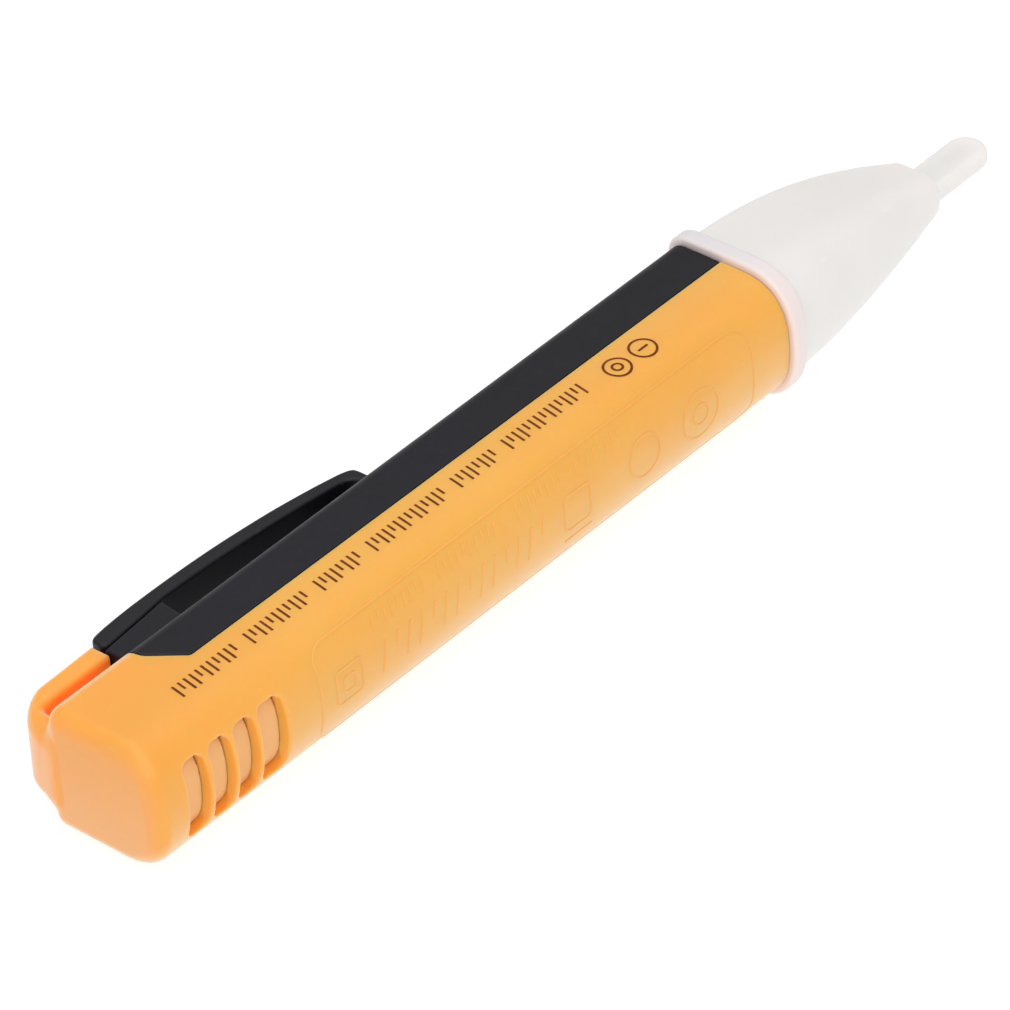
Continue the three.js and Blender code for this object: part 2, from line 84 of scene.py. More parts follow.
def join(a, b, radius=0.0):
    """Two solids together, with a fillet between them."""
    if np.ndim(radius) == 0 and radius <= 0:
        return np.minimum(a, b)
    return (np.maximum(np.minimum(a, b), radius)
            - np.hypot(np.maximum(radius - a, 0), np.maximum(radius - b, 0)))


def carve(solid, tool, radius=0.0):
    return meet(solid, -tool, radius)


def slab(v, half, centre=0.0):
    return np.abs(v - centre) - half


def superellipse(y, z, half_width, depth):
    """Flat flanks in front of FLANK_Y, closed by a superellipse behind it."""
    power = SECTION_POWER
    u = np.abs(z) / half_width
    v = np.maximum(0.0, FLANK_Y - y) / depth
    level = np.maximum((u ** power + v ** power), 1e-9) ** (1 / power)
    slope = (np.sqrt((u ** (power - 1) / half_width) ** 2 + (v ** (power - 1) / depth) ** 2)
             * level ** (1 - power))
    return np.clip((level - 1) / np.maximum(slope, 1e-3), -30, 30)


def body_section(y, z):
    return meet(superellipse(y, z, HALF_WIDTH, FLANK_Y - BACK_Y), y - FRONT_Y, 2.0)


def open_section(y, z, half_width, back_y):
    return meet(superellipse(y, z, half_width, FLANK_Y - back_y), y - OPEN_Y, 0.3)


def rectangle(x, y, x0, x1, y0, y1, radius):
    cx, cy, hx, hy = (x0 + x1) / 2, (y0 + y1) / 2, (x1 - x0) / 2, (y1 - y0) / 2
    qx, qy = np.abs(x - cx) - hx + radius, np.abs(y - cy) - hy + radius
    return (np.hypot(np.maximum(qx, 0), np.maximum(qy, 0))
            + np.minimum(np.maximum(qx, qy), 0) - radius)


def block(x, y, z, box, radius):
    x0, x1, y0, y1, z0, z1 = box
    flat = meet(slab(x, (x1 - x0) / 2, (x0 + x1) / 2), slab(y, (y1 - y0) / 2, (y0 + y1) / 2), radius)
    return meet(flat, slab(z, (z1 - z0) / 2, (z0 + z1) / 2), radius)


def polygon(x, y, points):
    """Signed distance to a closed polygon in a plane."""
    points = np.asarray(points, float)
    nearest, inside = np.inf, False
    for (ax, ay), (bx, by) in zip(points, np.roll(points, -1, axis=0)):
        ex, ey = bx - ax, by - ay
        wx, wy = x - ax, y - ay
        t = np.clip((wx * ex + wy * ey) / (ex * ex + ey * ey + 1e-12), 0, 1)
        nearest = np.minimum(nearest, (wx - ex * t) ** 2 + (wy - ey * t) ** 2)
        above, below, left = y >= ay, y < by, (ex * wy) > (ey * wx)
        inside = inside ^ ((above & below & left) | (~above & ~below & ~left))
    return np.where(inside, -1.0, 1.0) * np.sqrt(nearest)


def cut_corners(points, rounds):
    """Chaikin's smoothing of a closed outline."""
    p = np.asarray(points, float)
    for _ in range(rounds):
        q = np.roll(p, -1, axis=0)
        p = np.stack([0.75 * p + 0.25 * q, 0.25 * p + 0.75 * q], 1).reshape(-1, 2)
    return p


def smooth_curve(xk, yk):
    """Cubic through the stations that never overshoots them."""
    xk, yk = np.asarray(xk, float), np.asarray(yk, float)
    h, s = np.diff(xk), np.diff(yk) / np.diff(xk)
    m = np.zeros_like(yk)
    for i in range(1, len(xk) - 1):
        if s[i - 1] * s[i] > 0:
            w1, w2 = 2 * h[i] + h[i - 1], h[i] + 2 * h[i - 1]
            m[i] = (w1 + w2) / (w1 / s[i - 1] + w2 / s[i])
    m[0], m[-1] = s[0], s[-1]

    def curve(x):
        x = np.clip(x, xk[0], xk[-1])
        i = np.clip(np.searchsorted(xk, x) - 1, 0, len(xk) - 2)
        t = (x - xk[i]) / h[i]
        return ((1 + 2 * t) * (1 - t) ** 2 * yk[i] + t * (1 - t) ** 2 * h[i] * m[i]
                + t * t * (3 - 2 * t) * yk[i + 1] + t * t * (t - 1) * h[i] * m[i + 1])
    return curve


# ---------------------------------------------------------------- meshes from fields
def lines(*spans):
    """Grid lines from (start, stop, step) spans."""
    out = []
    for start, stop, step in spans:
        count = max(1, int(round((stop - start) / step)))
        out.append(np.linspace(start, stop, count + 1)[:-1])
    out.append([spans[-1][1]])
    return np.concatenate(out)


def mirrored(*spans):
    half = lines(*spans)
    return np.unique(np.round(np.concatenate([-half[::-1], half]), 6))


def gradient(field, points, reach=0.012):
    out = np.zeros_like(points)
    for axis in range(3):
        ahead, behind = points.copy(), points.copy()
        ahead[:, axis] += reach
        behind[:, axis] -= reach
        out[:, axis] = (field(*ahead.T) - field(*behind.T)) / (2 * reach)
    return out


def field_normals(field, points):
    g = gradient(field, points)
    return g / np.maximum(np.linalg.norm(g, axis=1), 1e-6)[:, None]


def project(field, points, rounds):
    """Move points onto the field's surface, at most 0.25 gradients a round."""
    for _ in range(rounds):
        g = gradient(field, points)
        move = field(*points.T) / np.maximum((g ** 2).sum(1), 0.25)
        points = points - np.clip(move, -0.25, 0.25)[:, None] * g
    return points


CORNERS = [(a, b, c) for a in (0, 1) for b in (0, 1) for c in (0, 1)]


def mesh_field(name, field, xs, ys, zs):
    """Surface net: one vertex in each grid cell that the surface crosses."""
    shape = (len(xs), len(ys), len(zs))
    values = field(xs[:, None, None], ys[None, :, None], zs[None, None, :])
    values = np.array(np.broadcast_to(values, shape), float)
    values[values == 0] = 1e-9
    inside = values < 0
    filled = np.zeros(tuple(n - 1 for n in shape), np.int8)
    for a, b, c in CORNERS:
        filled += inside[a:shape[0] - 1 + a, b:shape[1] - 1 + b, c:shape[2] - 1 + c]
    cells = np.argwhere((filled > 0) & (filled < 8))
    count = len(cells)
    index = np.full(filled.shape, -1, np.int64)
    index[tuple(cells.T)] = np.arange(count)

    def corner_values(corner):
        i, j, k = (cells + corner).T
        return values[i, j, k], np.stack([xs[i], ys[j], zs[k]], 1)

    # a vertex starts at the mean of the crossings on its cell's edges
    points, crossings = np.zeros((count, 3)), np.zeros(count)
    for axis in range(3):
        for low in CORNERS:
            if low[axis]:
                continue
            high = list(low)
            high[axis] = 1
            (va, pa), (vb, pb) = corner_values(low), corner_values(high)
            hit = (va < 0) != (vb < 0)
            t = np.where(hit, va / np.where(hit, va - vb, 1.0), 0.0)
            points[hit] += (pa + (pb - pa) * t[:, None])[hit]
            crossings[hit] += 1
    points /= crossings[:, None]

    # a quad joins the four cells around each crossed grid edge
    quads = []
    for axis in range(3):
        low = [slice(1, -1)] * 3
        high = list(low)
        low[axis], high[axis] = slice(None, -1), slice(1, None)
        start, stop = inside[tuple(low)], inside[tuple(high)]
        u, v = np.eye(3, dtype=int)[[(axis + 1) % 3, (axis + 2) % 3]]
        for crossed, turn in ((start & ~stop, 1), (~start & stop, -1)):
            edges = np.argwhere(crossed)
            quad = [index[tuple((edges + step).T)] for step in (0 * u, u, u + v, v)]
            quads.append(np.stack(quad, 1)[:, ::turn])
    quads = np.concatenate(quads)

    # even out the spacing once, sliding along the surface only
    points = project(field, points, 4)
    total, links = np.zeros_like(points), np.zeros(count)
    for a in range(4):
        np.add.at(total, quads[:, a], points[quads[:, (a + 1) % 4]] + points[quads[:, (a - 1) % 4]])
        np.add.at(links, quads[:, a], 2)
    pull = total / np.maximum(links, 1)[:, None] - points
    normals = field_normals(field, points)
    points = points + 0.45 * (pull - (pull * normals).sum(1)[:, None] * normals)
    points = project(field, points, 3)
    return grid_mesh(name, points, quads, field_normals(field, points))


def add_object(name, mesh):
    obj = bpy.data.objects.new(name, mesh)
    bpy.context.scene.collection.objects.link(obj)
    return obj


def grid_mesh(name, points, quads, normals=None):
    """Mesh of quads, smooth where vertex normals are given."""
    mesh = bpy.data.meshes.new(name)
    mesh.vertices.add(len(points))
    scaled = np.asarray(points, float) * MM
    mesh.vertices.foreach_set("co", scaled.astype(np.float32).ravel())
    mesh.loops.add(quads.size)
    mesh.loops.foreach_set("vertex_index", quads.astype(np.int32).ravel())
    mesh.polygons.add(len(quads))
    mesh.polygons.foreach_set("loop_start", np.arange(0, quads.size, 4, dtype=np.int32))
    mesh.update(calc_edges=True)
    mesh.polygons.foreach_set("use_smooth", np.full(len(quads), normals is not None))
    mesh.validate()
    if normals is not None:
        mesh.normals_split_custom_set_from_vertices(normals.tolist())
    return add_object(name, mesh)


# ---------------------------------------------------------------- turned, swept and block meshes
def shade(mesh, sharp_degrees):
    mesh.polygons.foreach_set("use_smooth", np.full(len(mesh.polygons), True))
    mesh.set_sharp_from_angle(angle=math.radians(sharp_degrees))


def face_mesh(name, points, faces, sharp_degrees):
    mesh = bpy.data.meshes.new(name)
    mesh.from_pydata((np.array(points, float) * MM).tolist(), [], faces)
    mesh.update()
    bm = bmesh.new()
    bm.from_mesh(mesh)
    bmesh.ops.recalc_face_normals(bm, faces=bm.faces)
    bm.to_mesh(mesh)
    bm.free()
    shade(mesh, sharp_degrees)
    return add_object(name, mesh)


def revolve(name, profile, axis, origin, segments):
    """Turned piece. profile: (radius, distance), from axis to axis or a closed loop."""
    profile = list(profile)
    closed = profile[0] == profile[-1] and profile[0][0] > 0
    if closed:
        profile.pop()
    points, rings = [], []
    for radius, distance in profile:
        size = 1 if radius < 1e-6 else segments
        rings.append(range(len(points), len(points) + size))
        if size == 1:
            points.append((0, 0, distance))
            continue
        for i in range(segments):
            a = 2 * math.pi * i / segments
            points.append((radius * math.cos(a), radius * math.sin(a), distance))
    faces = []
    for a, b in zip(rings, rings[1:] + (rings[:1] if closed else [])):
        for j in range(segments):
            k = (j + 1) % segments
            quad = (a[j % len(a)], a[k % len(a)], b[k % len(b)], b[j % len(b)])
            faces.append(tuple(dict.fromkeys(quad)))
    order = {"x": [2, 0, 1], "y": [1, 2, 0]}[axis]
    return face_mesh(name, np.array(points, float)[:, order] + origin, faces, 50)


def arc(cx, cy, radius, degrees):
    return [(cx + radius * math.cos(math.radians(a)), cy + radius * math.sin(math.radians(a)))
            for a in degrees]


def sweep(name, path, radius, segments):
    """Closed wire along a line of points, with rounded ends."""
    path = np.asarray(path, float)
    tangents = np.gradient(path, axis=0)
    tangents /= np.linalg.norm(tangents, axis=1)[:, None]
    side = np.cross(tangents[0], [0.3, 1.0, 0.2])
    side /= np.linalg.norm(side)
    points, faces = [], []
    for i, (point, along) in enumerate(zip(path, tangents)):
        side = side - (side @ along) * along
        side /= np.linalg.norm(side)
        up = np.cross(along, side)
        rings = [(point, radius)]
        if i == 0:
            rings = [(point + along * radius * (1 - math.sin(t)), radius * math.cos(t))
                     for t in (1.3, 0.8, 0.3)]
        if i == len(path) - 1:
            rings = [(point - along * radius * (1 - math.sin(t)), radius * math.cos(t))
                     for t in (0.3, 0.8, 1.3)]
        for centre, size in rings:
            for j in range(segments):
                a = 2 * math.pi * j / segments
                points.append(centre + size * (math.cos(a) * side + math.sin(a) * up))
    last = len(points) - segments
    for a in range(0, last, segments):
        b = a + segments
        for j in range(segments):
            k = (j + 1) % segments
            faces.append((a + j, a + k, b + k, b + j))
    faces.append(tuple(reversed(range(segments))))
    faces.append(tuple(range(last, last + segments)))
    return face_mesh(name, points, faces, 60)


def boxes(name, items, radius):
    """Several small bevelled blocks in one mesh. items: (x0, x1, y0, y1, z0, z1)."""
    bm = bmesh.new()
    for x0, x1, y0, y1, z0, z1 in items:
        centre = Matrix.Translation(((x0 + x1) / 2, (y0 + y1) / 2, (z0 + z1) / 2))
        size = Matrix.Diagonal((x1 - x0, y1 - y0, z1 - z0, 1))
        verts = bmesh.ops.create_cube(bm, size=1.0, matrix=centre @ size)["verts"]
        edges = {e for v in verts for e in v.link_edges}
        bmesh.ops.bevel(bm, geom=list(edges), offset=min(radius, 0.3 * min(x1 - x0, y1 - y0, z1 - z0)),
                        segments=3, profile=0.5, affect="EDGES")
    bmesh.ops.scale(bm, vec=(MM, MM, MM), verts=bm.verts)
    mesh = bpy.data.meshes.new(name)
    bm.to_mesh(mesh)
    bm.free()
    shade(mesh, 40)
    return add_object(name, mesh)


def with_mirror(items):
    """The boxes, then the same boxes mirrored in Z."""
    return items + [(x0, x1, y0, y1, -z1, -z0) for x0, x1, y0, y1, z0, z1 in items]


# ---------------------------------------------------------------- material nodes
def srgb(code):
    v = [int(code[i:i + 2], 16) / 255 for i in (0, 2, 4)]
    return tuple(c / 12.92 if c <= 0.04045 else ((c + 0.055) / 1.055) ** 2.4 for c in v) + (1.0,)


class Material:
    """A Principled material; colours may be hex codes, lengths in its nodes are metres."""

    def __init__(self, name):
        self.material = bpy.data.materials.new(name)
        self.material.use_nodes = True
        self.tree = self.material.node_tree
        self.shader = self.tree.nodes["Principled BSDF"]
        self.place = self.node("ShaderNodeTexCoord").outputs["Object"]

    def feed(self, socket, value):
        if hasattr(value, "is_output"):
            self.tree.links.new(value, socket)
        else:
            socket.default_value = srgb(value) if isinstance(value, str) else value

    def node(self, kind, inputs=None, **settings):
        node = self.tree.nodes.new(kind)
        for key, value in settings.items():
            setattr(node, key, value)
        for key, value in (inputs or {}).items():
            self.feed(node.inputs[key], value)
        return node

    def mapping(self, scale=(1, 1, 1), rotation=(0, 0, 0)):
        inputs = {"Vector": self.place, "Scale": scale, "Rotation": rotation}
        return self.node("ShaderNodeMapping", inputs).outputs[0]

    def noise(self, scale, detail, roughness=0.55, vector=None):
        inputs = {"Vector": vector or self.place, "Scale": scale, "Detail": detail,
                  "Roughness": roughness}
        return self.node("ShaderNodeTexNoise", inputs).outputs["Fac"]

    def stretched_noise(self, detail, **mapping):
        return self.noise(1.0, detail, roughness=0.5, vector=self.mapping(**mapping))

    def math(self, operation, a, b=0.0):
        return self.node("ShaderNodeMath", {0: a, 1: b}, operation=operation).outputs[0]

    def times(self, a, b):
        return self.math("MULTIPLY", a, b)

    def ramp(self, value, over, to=(0, 1)):
        inputs = {"Value": value, "From Min": over[0], "From Max": over[1],
                  "To Min": to[0], "To Max": to[1]}
        return self.node("ShaderNodeMapRange", inputs, clamp=True).outputs["Result"]

    def mix(self, amount, a, b):
        inputs = {"Factor": amount, 6: a, 7: b}
        return self.node("ShaderNodeMix", inputs, data_type="RGBA").outputs[2]

    def mottle(self, a, b, scale, detail=3, over=(0.35, 0.7)):
        """Two colours mixed by noise."""
        return self.mix(self.ramp(self.noise(scale, detail), over), a, b)

    def uneven(self, to, scale, detail):
        """A value that noise moves between two limits."""
        return self.ramp(self.noise(scale, detail), over=(0.3, 0.7), to=to)

    def xyz(self, vector=None):
        return self.node("ShaderNodeSeparateXYZ", {0: vector or self.place}).outputs

    def bump(self, height, strength, distance, normal=None):
        inputs = {"Strength": strength, "Distance": distance, "Height": height}
        if normal is not None:
            inputs["Normal"] = normal
        return self.node("ShaderNodeBump", inputs).outputs["Normal"]

    def geometry(self, output):
        return self.node("ShaderNodeNewGeometry").outputs[output]

    def set(self, **values):
        for key, value in values.items():
            self.feed(self.shader.inputs[key.replace("_", " ")], value)
        return self.material


def plastic(name, colours, rough, grain, edge, grain_scale=5200, scuff=0.05, specular=0.5,
            sss=None, warm=None, rim=None, painted_light=None):
    """Moulded plastic with colour drift, fine grain, pale specks, faint scuffs and painted light:
    a painted highlight on convex edges and a painted pale sheen at grazing angles.

    colours: (main, drift, pale colour of the specks and the painted edge highlight).
    sss: (weight, radius). warm: colour at the rear end. edge: strength of the painted edge highlight.
    rim: (colour, amount) of the painted sheen at grazing angles.
    tint: a function that paints light and shade into the colour.
    """
    m = Material(name)
    main, drift, speck_and_highlight = colours
    colour = m.mottle(drift, main, scale=55, over=(0.35, 0.68))
    specks = m.noise(scale=1500, detail=2, roughness=0.6)
    colour = m.mix(m.ramp(specks, over=(0.62, 0.78), to=(0, 0.22)), colour, speck_and_highlight)
    # painted highlight: convex edges, found by pointiness, turn towards the pale colour
    edge_highlight = m.ramp(m.geometry("Pointiness"), over=(0.505, 0.56), to=(0, edge))
    colour = m.mix(edge_highlight, colour, speck_and_highlight)
    if warm:
        colour = m.mix(m.ramp(m.xyz()[0], over=(0.0, 0.034), to=(0.55, 0)), colour, warm)
    # painted sheen: the colour turns paler towards grazing angles, a painted reflection of the bright
    # surroundings
    if rim:
        facing = m.node("ShaderNodeLayerWeight", {"Blend": 0.5}).outputs["Facing"]
        colour = m.mix(m.ramp(facing, over=(0.40, 0.92), to=(0, rim[1])), colour, rim[0])
    # painted light and shade, drawn by the given function
    if painted_light:
        colour = painted_light(m, colour)
    streaks = m.stretched_noise(detail=4, scale=(90, 1400, 1100), rotation=(0.0, 0.2, 0.35))
    patches = m.ramp(m.noise(scale=38, detail=2), over=(0.52, 0.7))
    scratches = m.times(m.ramp(streaks, over=(0.64, 0.74)), patches)
    roughness = m.uneven(to=(rough - 0.05, rough + 0.06), scale=420, detail=4)
    fine = m.noise(scale=grain_scale, detail=2, roughness=0.7)
    normal = m.bump(fine, strength=grain, distance=0.00004)
    normal = m.bump(m.noise(scale=700, detail=2), strength=0.06, distance=0.00006, normal=normal)
    normal = m.bump(m.times(scratches, -1.0), strength=0.12, distance=0.00002, normal=normal)
    m.set(Base_Color=colour, Roughness=m.math("ADD", roughness, m.times(scratches, scuff)),
          Normal=normal, IOR=1.5, Specular_IOR_Level=specular)
    if sss:
        m.set(Subsurface_Weight=sss[0], Subsurface_Radius=sss[1], Subsurface_Scale=0.001)
    return m.material


def slot_glow(m, colour):
    """Warm light on the rear end face and inside the slot through the ridge."""
    normal_x = m.xyz(m.geometry("True Normal"))[0]
    x, y, z = m.xyz()
    end = m.times(m.ramp(normal_x, over=(-0.985, -0.55), to=(0.24, 0)),
                  m.ramp(x, over=(0.0015, 0.0035), to=(1, 0)))
    colour = m.mix(end, colour, "fea884")
    glow = m.times(m.ramp(x, over=(0.0038, 0.0050)), m.ramp(y, over=(0.0083, 0.0088)))
    glow = m.times(glow, m.ramp(y, over=(0.0114, 0.0119), to=(1, 0)))
    glow = m.times(glow, m.ramp(m.math("ABSOLUTE", z), over=(0.0044, 0.0050), to=(1, 0.25)))
    glow = m.times(glow, m.ramp(x, over=(0.0235, 0.0245), to=(1, 0)))
    colour = m.mix(m.times(glow, 0.5), colour, "fb9026")
    m.set(Emission_Color=(1.0, 0.06, 0.0, 1.0), Emission_Strength=m.times(glow, 0.24))
    return colour


def collar_painted_light(m, colour):
    """Painted light and shade: greyer to the front (painted shade), warmer and pinker to the back
    (painted light), and painted warm light at the collar's rear edge, next to the orange sleeve.
    """
    x, y, _ = m.xyz()
    colour = m.mix(m.ramp(y, over=(0.001, 0.008), to=(0, 0.55)), colour, "d6d8dc")
    colour = m.mix(m.ramp(y, over=(-0.001, -0.008), to=(0, 0.45)), colour, "f6e0d6")
    return m.mix(m.ramp(x, over=(0.10795, 0.1076), to=(0, 0.26)), colour, "f4d2c0")


def metal(name, colours, rough, stretch=(120, 5200, 5200)):
    """Metal whose grain follows the stretch; the default is brushed along X."""
    m = Material(name)
    colour = m.mottle(*colours, scale=260, detail=4)
    grain = m.stretched_noise(detail=3, scale=stretch)
    return m.set(Base_Color=colour, Metallic=1.0,
                 Roughness=m.ramp(grain, over=(0.3, 0.7), to=(rough - 0.06, rough + 0.1)),
                 Normal=m.bump(grain, strength=0.08, distance=0.00003))


ORANGE = plastic("orange_shell", ("fbb350", "fbae4a", "ffcb86"), rough=0.40, grain=0.10,
                 edge=0.25, sss=(0.5, (3.0, 0.8, 0.16)), rim=("ffd9b4", 0.82), warm="fba23c",
                 painted_light=slot_glow)
# The relief's colours are a little darker than the shell's: painted shade along the moulded lines.
RELIEF = plastic("orange_relief", ("f9ae4c", "f7a843", "fcbb5e"), rough=0.42, grain=0.08,
                 edge=0.1, rim=("fdce9d", 0.75))
BLACK = plastic("black_shell", ("100d18", "0e0c14", "363543"), rough=0.48, grain=0.16,
                grain_scale=4200, edge=0.30, scuff=0.10, specular=0.30)
CLIP_BLACK = plastic("black_clip", ("100f17", "0d0c13", "33323e"), rough=0.46, grain=0.14,
                     grain_scale=4200, edge=0.35, scuff=0.12, specular=0.34)
BUTTON = plastic("button_plastic", ("1d1b22", "18171c", "3c3a44"), rough=0.55, grain=0.3,
                 grain_scale=3200, edge=0.3)
WHITE = plastic("collar_white", ("e8e2e3", "e4dddf", "f8f5f5"), rough=0.42, grain=0.08,
                edge=0.2, scuff=0.03, sss=(0.35, (1.6, 1.4, 1.3)), painted_light=collar_painted_light)
NOSE = plastic("nose_translucent", ("efeae7", "ece7e3", "f8f5f4"), rough=0.40, grain=0.07,
               edge=0.15, scuff=0.03, sss=(0.55, (2.4, 2.0, 1.8)))
TONGUE = plastic("tongue_tan", ("f8b878", "f2ae6a", "fad2a2"), rough=0.52, grain=0.3,
                 grain_scale=2600, edge=0.2, sss=(0.45, (2.2, 1.2, 0.4)))
TRAY = plastic("carrier_plastic", ("dcb481", "d3a972", "ecd0a6"), rough=0.50, grain=0.2,
               grain_scale=3200, edge=0.25)


def paint(obj, material):
    obj.data.materials.clear()
    obj.data.materials.append(material)


def fit(obj, body, material, slot, *nodes):
    paint(obj, material)
    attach(obj, body)
    if nodes:
        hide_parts(*nodes)


# ---------------------------------------------------------------- outer sleeve
RECESS = 1.07            # depth of the step under the front strip
GRIP_HALF = 5.15         # half width of the ridge root left standing in that recess
REAR_WALL = 1.6


def strip_region(x, y, grow):
    """Side view of the black strip's area: above a shallow slope, with a slanted rear end."""
    level = -(y - (1.35 + (SLEEVE_END - x) * 0.005)) - grow
    slant = (x - 17.4) * (-0.7914) + (y - 1.8) * (-0.6115) - grow
    rear = (14.12 - grow) - x
    return meet(meet(level, slant, 0.25), rear, 0.4)


def ridge_profile(x, y):
    """Side view of the ridge at the rear, with a slot through it across the width."""
    top = 14.18 + 0.032 * np.maximum(x - 7.3, 0.0)
    d = meet(y - top, 0.42 - x, 6.6)
    d = meet(d, x - RIDGE_END, 0.12)
    d = carve(d, rectangle(x, y, 4.0, 24.0, FRONT_Y, 11.6, 0.9), 0.28)
    return meet(d, 7.0 - y)


def sleeve_field(x, y, z):
    s = body_section(y, z)
    rear_face = 0.0085 * z * z + 0.02 * (np.clip(y, BACK_Y, FRONT_Y) + FRONT_Y)
    body = meet(meet(s, rear_face - x, 2.1), x - SLEEVE_END, 0.16)
    # the ridge narrows and its edges soften towards the rear end
    tail = np.clip((6.0 - x) / 6.0, 0, 1)
    ridge = meet(ridge_profile(x, y), np.abs(z) - CLIP_HALF + 0.4 * tail, 0.75 + 1.1 * tail)
    d = join(body, ridge, 0.95 + 0.6 * np.clip((4.0 - z) / 8.0, 0, 1) * tail)
    d = meet(d, 0.02 - x)
    recess = meet(-(s + RECESS), strip_region(x, y, 0.13))
    keep = meet(meet(slab(z, GRIP_HALF), x - RIDGE_END), 5 - y)
    d = carve(d, carve(recess, keep), 0.13)
    # windows through the back, longer at the outside
    holes = [rectangle(x, z, a, b + 0.4 * np.clip((-7.2 - y) / 1.1, 0, 1), -4.95, 4.95, 1.05)
             for a, b in WINDOWS]
    d = carve(d, meet(reduce(np.minimum, holes), y + 5.2), 0.26)
    # hollow for the carrier, and a narrower one above it
    low_hollow = meet(meet(open_section(y, z, 6.5, -7.25), y - 1.0), REAR_WALL - x)
    high_hollow = meet(meet(slab(z, 5.6), y - 6.05), meet(REAR_WALL - x, -5.0 - y))
    d = carve(d, join(low_hollow, high_hollow))
    # stepped seat of the button
    r = np.hypot(x - BUTTON_X, z)
    return carve(d, join(meet(r - 3.8, 6.55 - y), meet(r - 1.5, 5.0 - y)))


sleeve = mesh_field(
    "outer_sleeve_shell", sleeve_field,
    lines((-0.3, 3.4, 0.17), (3.4, 21.6, 0.15), (21.6, 23.6, 0.4), (23.6, 96.4, 1.4),
          (96.4, 105.6, 0.4), (105.6, 106.8, 0.3), (106.8, 107.7, 0.08)),
    lines((-8.8, -6.6, 0.14), (-6.6, -1.2, 0.36), (-1.2, 1.1, 0.45), (1.1, 2.2, 0.07),
          (2.2, 8.2, 0.2), (8.2, 8.8, 0.1), (8.8, 14.8, 0.17)),
    mirrored((0.0, 4.4, 0.4), (4.4, 6.2, 0.11), (6.2, 8.4, 0.17)))
fit(sleeve, "housing", ORANGE, "orange_shell", "outer_sleeve")

# ---------------------------------------------------------------- front strip with clip pedestal
STRIP_END = 107.33
STRIP_THICK = 1.0
STRIP_HOLE = 2.82        # radius of the hole for the button
# pedestal in side view: (x, y)
PEDESTAL = [(15.3, 7.6), (25.4, 7.6), (25.6, 8.3), (25.05, 9.2), (25.0, 10.6), (25.35, 13.40),
            (15.3, 12.55)]


def strip_field(x, y, z):
    s = body_section(y, z)
    d = meet(s, strip_region(x, y, 0.0), 0.14)
    d = meet(d, x - STRIP_END, 0.2)
    d = meet(d, -(s + STRIP_THICK))
    ridge_gap = meet(meet(slab(z, 5.28), x - 15.28), 5 - y)
    d = carve(d, ridge_gap, 0.12)
    pedestal = meet(polygon(x, y, PEDESTAL), slab(z, CLIP_HALF), 0.3)
    d = join(d, meet(pedestal, 8.1 - y), 0.35)
    return carve(d, np.hypot(x - BUTTON_X, z) - STRIP_HOLE, 0.25)


strip = mesh_field(
    "front_strip", strip_field,
    lines((13.7, 26.4, 0.14), (26.4, 97.4, 1.2), (97.4, 104.6, 0.16), (104.6, 106.8, 0.5),
          (106.8, 107.6, 0.08)),
    lines((1.0, 2.4, 0.07), (2.4, 7.2, 0.2), (7.2, 8.8, 0.1), (8.8, 13.8, 0.16)),
    mirrored((0.0, 2.3, 0.3), (2.3, 3.2, 0.14), (3.2, 4.7, 0.3), (4.7, 5.6, 0.11),
             (5.6, 8.3, 0.15)))
fit(strip, "housing", BLACK, "black_shell", "front_spine")

# ---------------------------------------------------------------- pocket clip
CLIP_END = 56.42
# arm in side view, (x, y): along the underside, round the foot and back along the top
CLIP = cut_corners([
    (15.55, 12.78), (18.0, 12.98), (22.0, 13.32), (25.7, 13.72), (27.5, 13.74), (30, 13.68),
    (32.5, 13.60), (35, 13.47), (37.5, 13.32), (40, 13.13), (42.5, 12.91), (45, 12.67),
    (46.8, 12.50), (48.4, 12.34), (50.7, 12.06), (52.4, 11.84), (53.5, 11.62), (54.2, 11.30),
    (54.7, 10.6), (54.95, 9.7), (55.15, 9.05), (55.55, 8.80), (56.05, 8.85), (56.35, 9.3),
    (CLIP_END, 10.2), (CLIP_END, 11.2), (56.2, 12.0), (55.7, 12.62), (54.6, 13.02),
    (53.3, 13.30), (51.4, 13.66), (49.4, 14.00), (45.4, 14.60), (41.2, 15.03), (37, 15.38),
    (32.6, 15.60), (28.1, 15.70), (23.6, 15.70), (20.8, 15.62), (18.4, 15.47), (16.6, 15.28),
    (15.95, 15.08), (15.6, 14.7)], rounds=2)


def clip_field(x, y, z):
    t = np.clip((x - 20) / 36, 0, 1)
    half = CLIP_HALF - 0.12 * t * t
    d = meet(polygon(x, y, CLIP), np.abs(z) - half, 0.42)
    return meet(d, (x - CLIP_END) + 0.012 * z * z, 0.35)


clip = mesh_field(
    "pocket_clip_arm", clip_field,
    lines((15.2, 17.2, 0.12), (17.2, 26.6, 0.25), (26.6, 49, 0.3), (49, 56.8, 0.13)),
    lines((8.4, 12.4, 0.13), (12.4, 16.0, 0.12)),
    mirrored((0.0, 3.6, 0.4), (3.6, 5.3, 0.1)))
paint(clip, CLIP_BLACK)
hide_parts("pocket_clip")
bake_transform(clip)

# ---------------------------------------------------------------- collar
COLLAR_START, COLLAR_END = 107.5, 110.05
COLLAR_PROUD, COLLAR_BORE = 0.85, 1.35   # outside and inside the body section


def collar_field(x, y, z):
    s = body_section(y, z)
    d = meet(s - COLLAR_PROUD, COLLAR_START - x, 0.45)
    d = meet(d, x - COLLAR_END, 0.85)
    return carve(d, s + COLLAR_BORE, 0.1)


collar = mesh_field(
    "nose_collar", collar_field,
    lines((107.3, 110.3, 0.12)),
    lines((-9.6, -5.5, 0.16), (-5.5, -1.2, 0.35), (-1.2, 5.6, 0.6), (5.6, 9.6, 0.14)),
    mirrored((0.0, 4.5, 0.5), (4.5, 9.2, 0.16)))
fit(collar, "carrier", WHITE, "white_collar", "tip_collar")

# ---------------------------------------------------------------- nose with blade
NOSE_WALL = 1.3
BLADE_RADIUS = 2.6
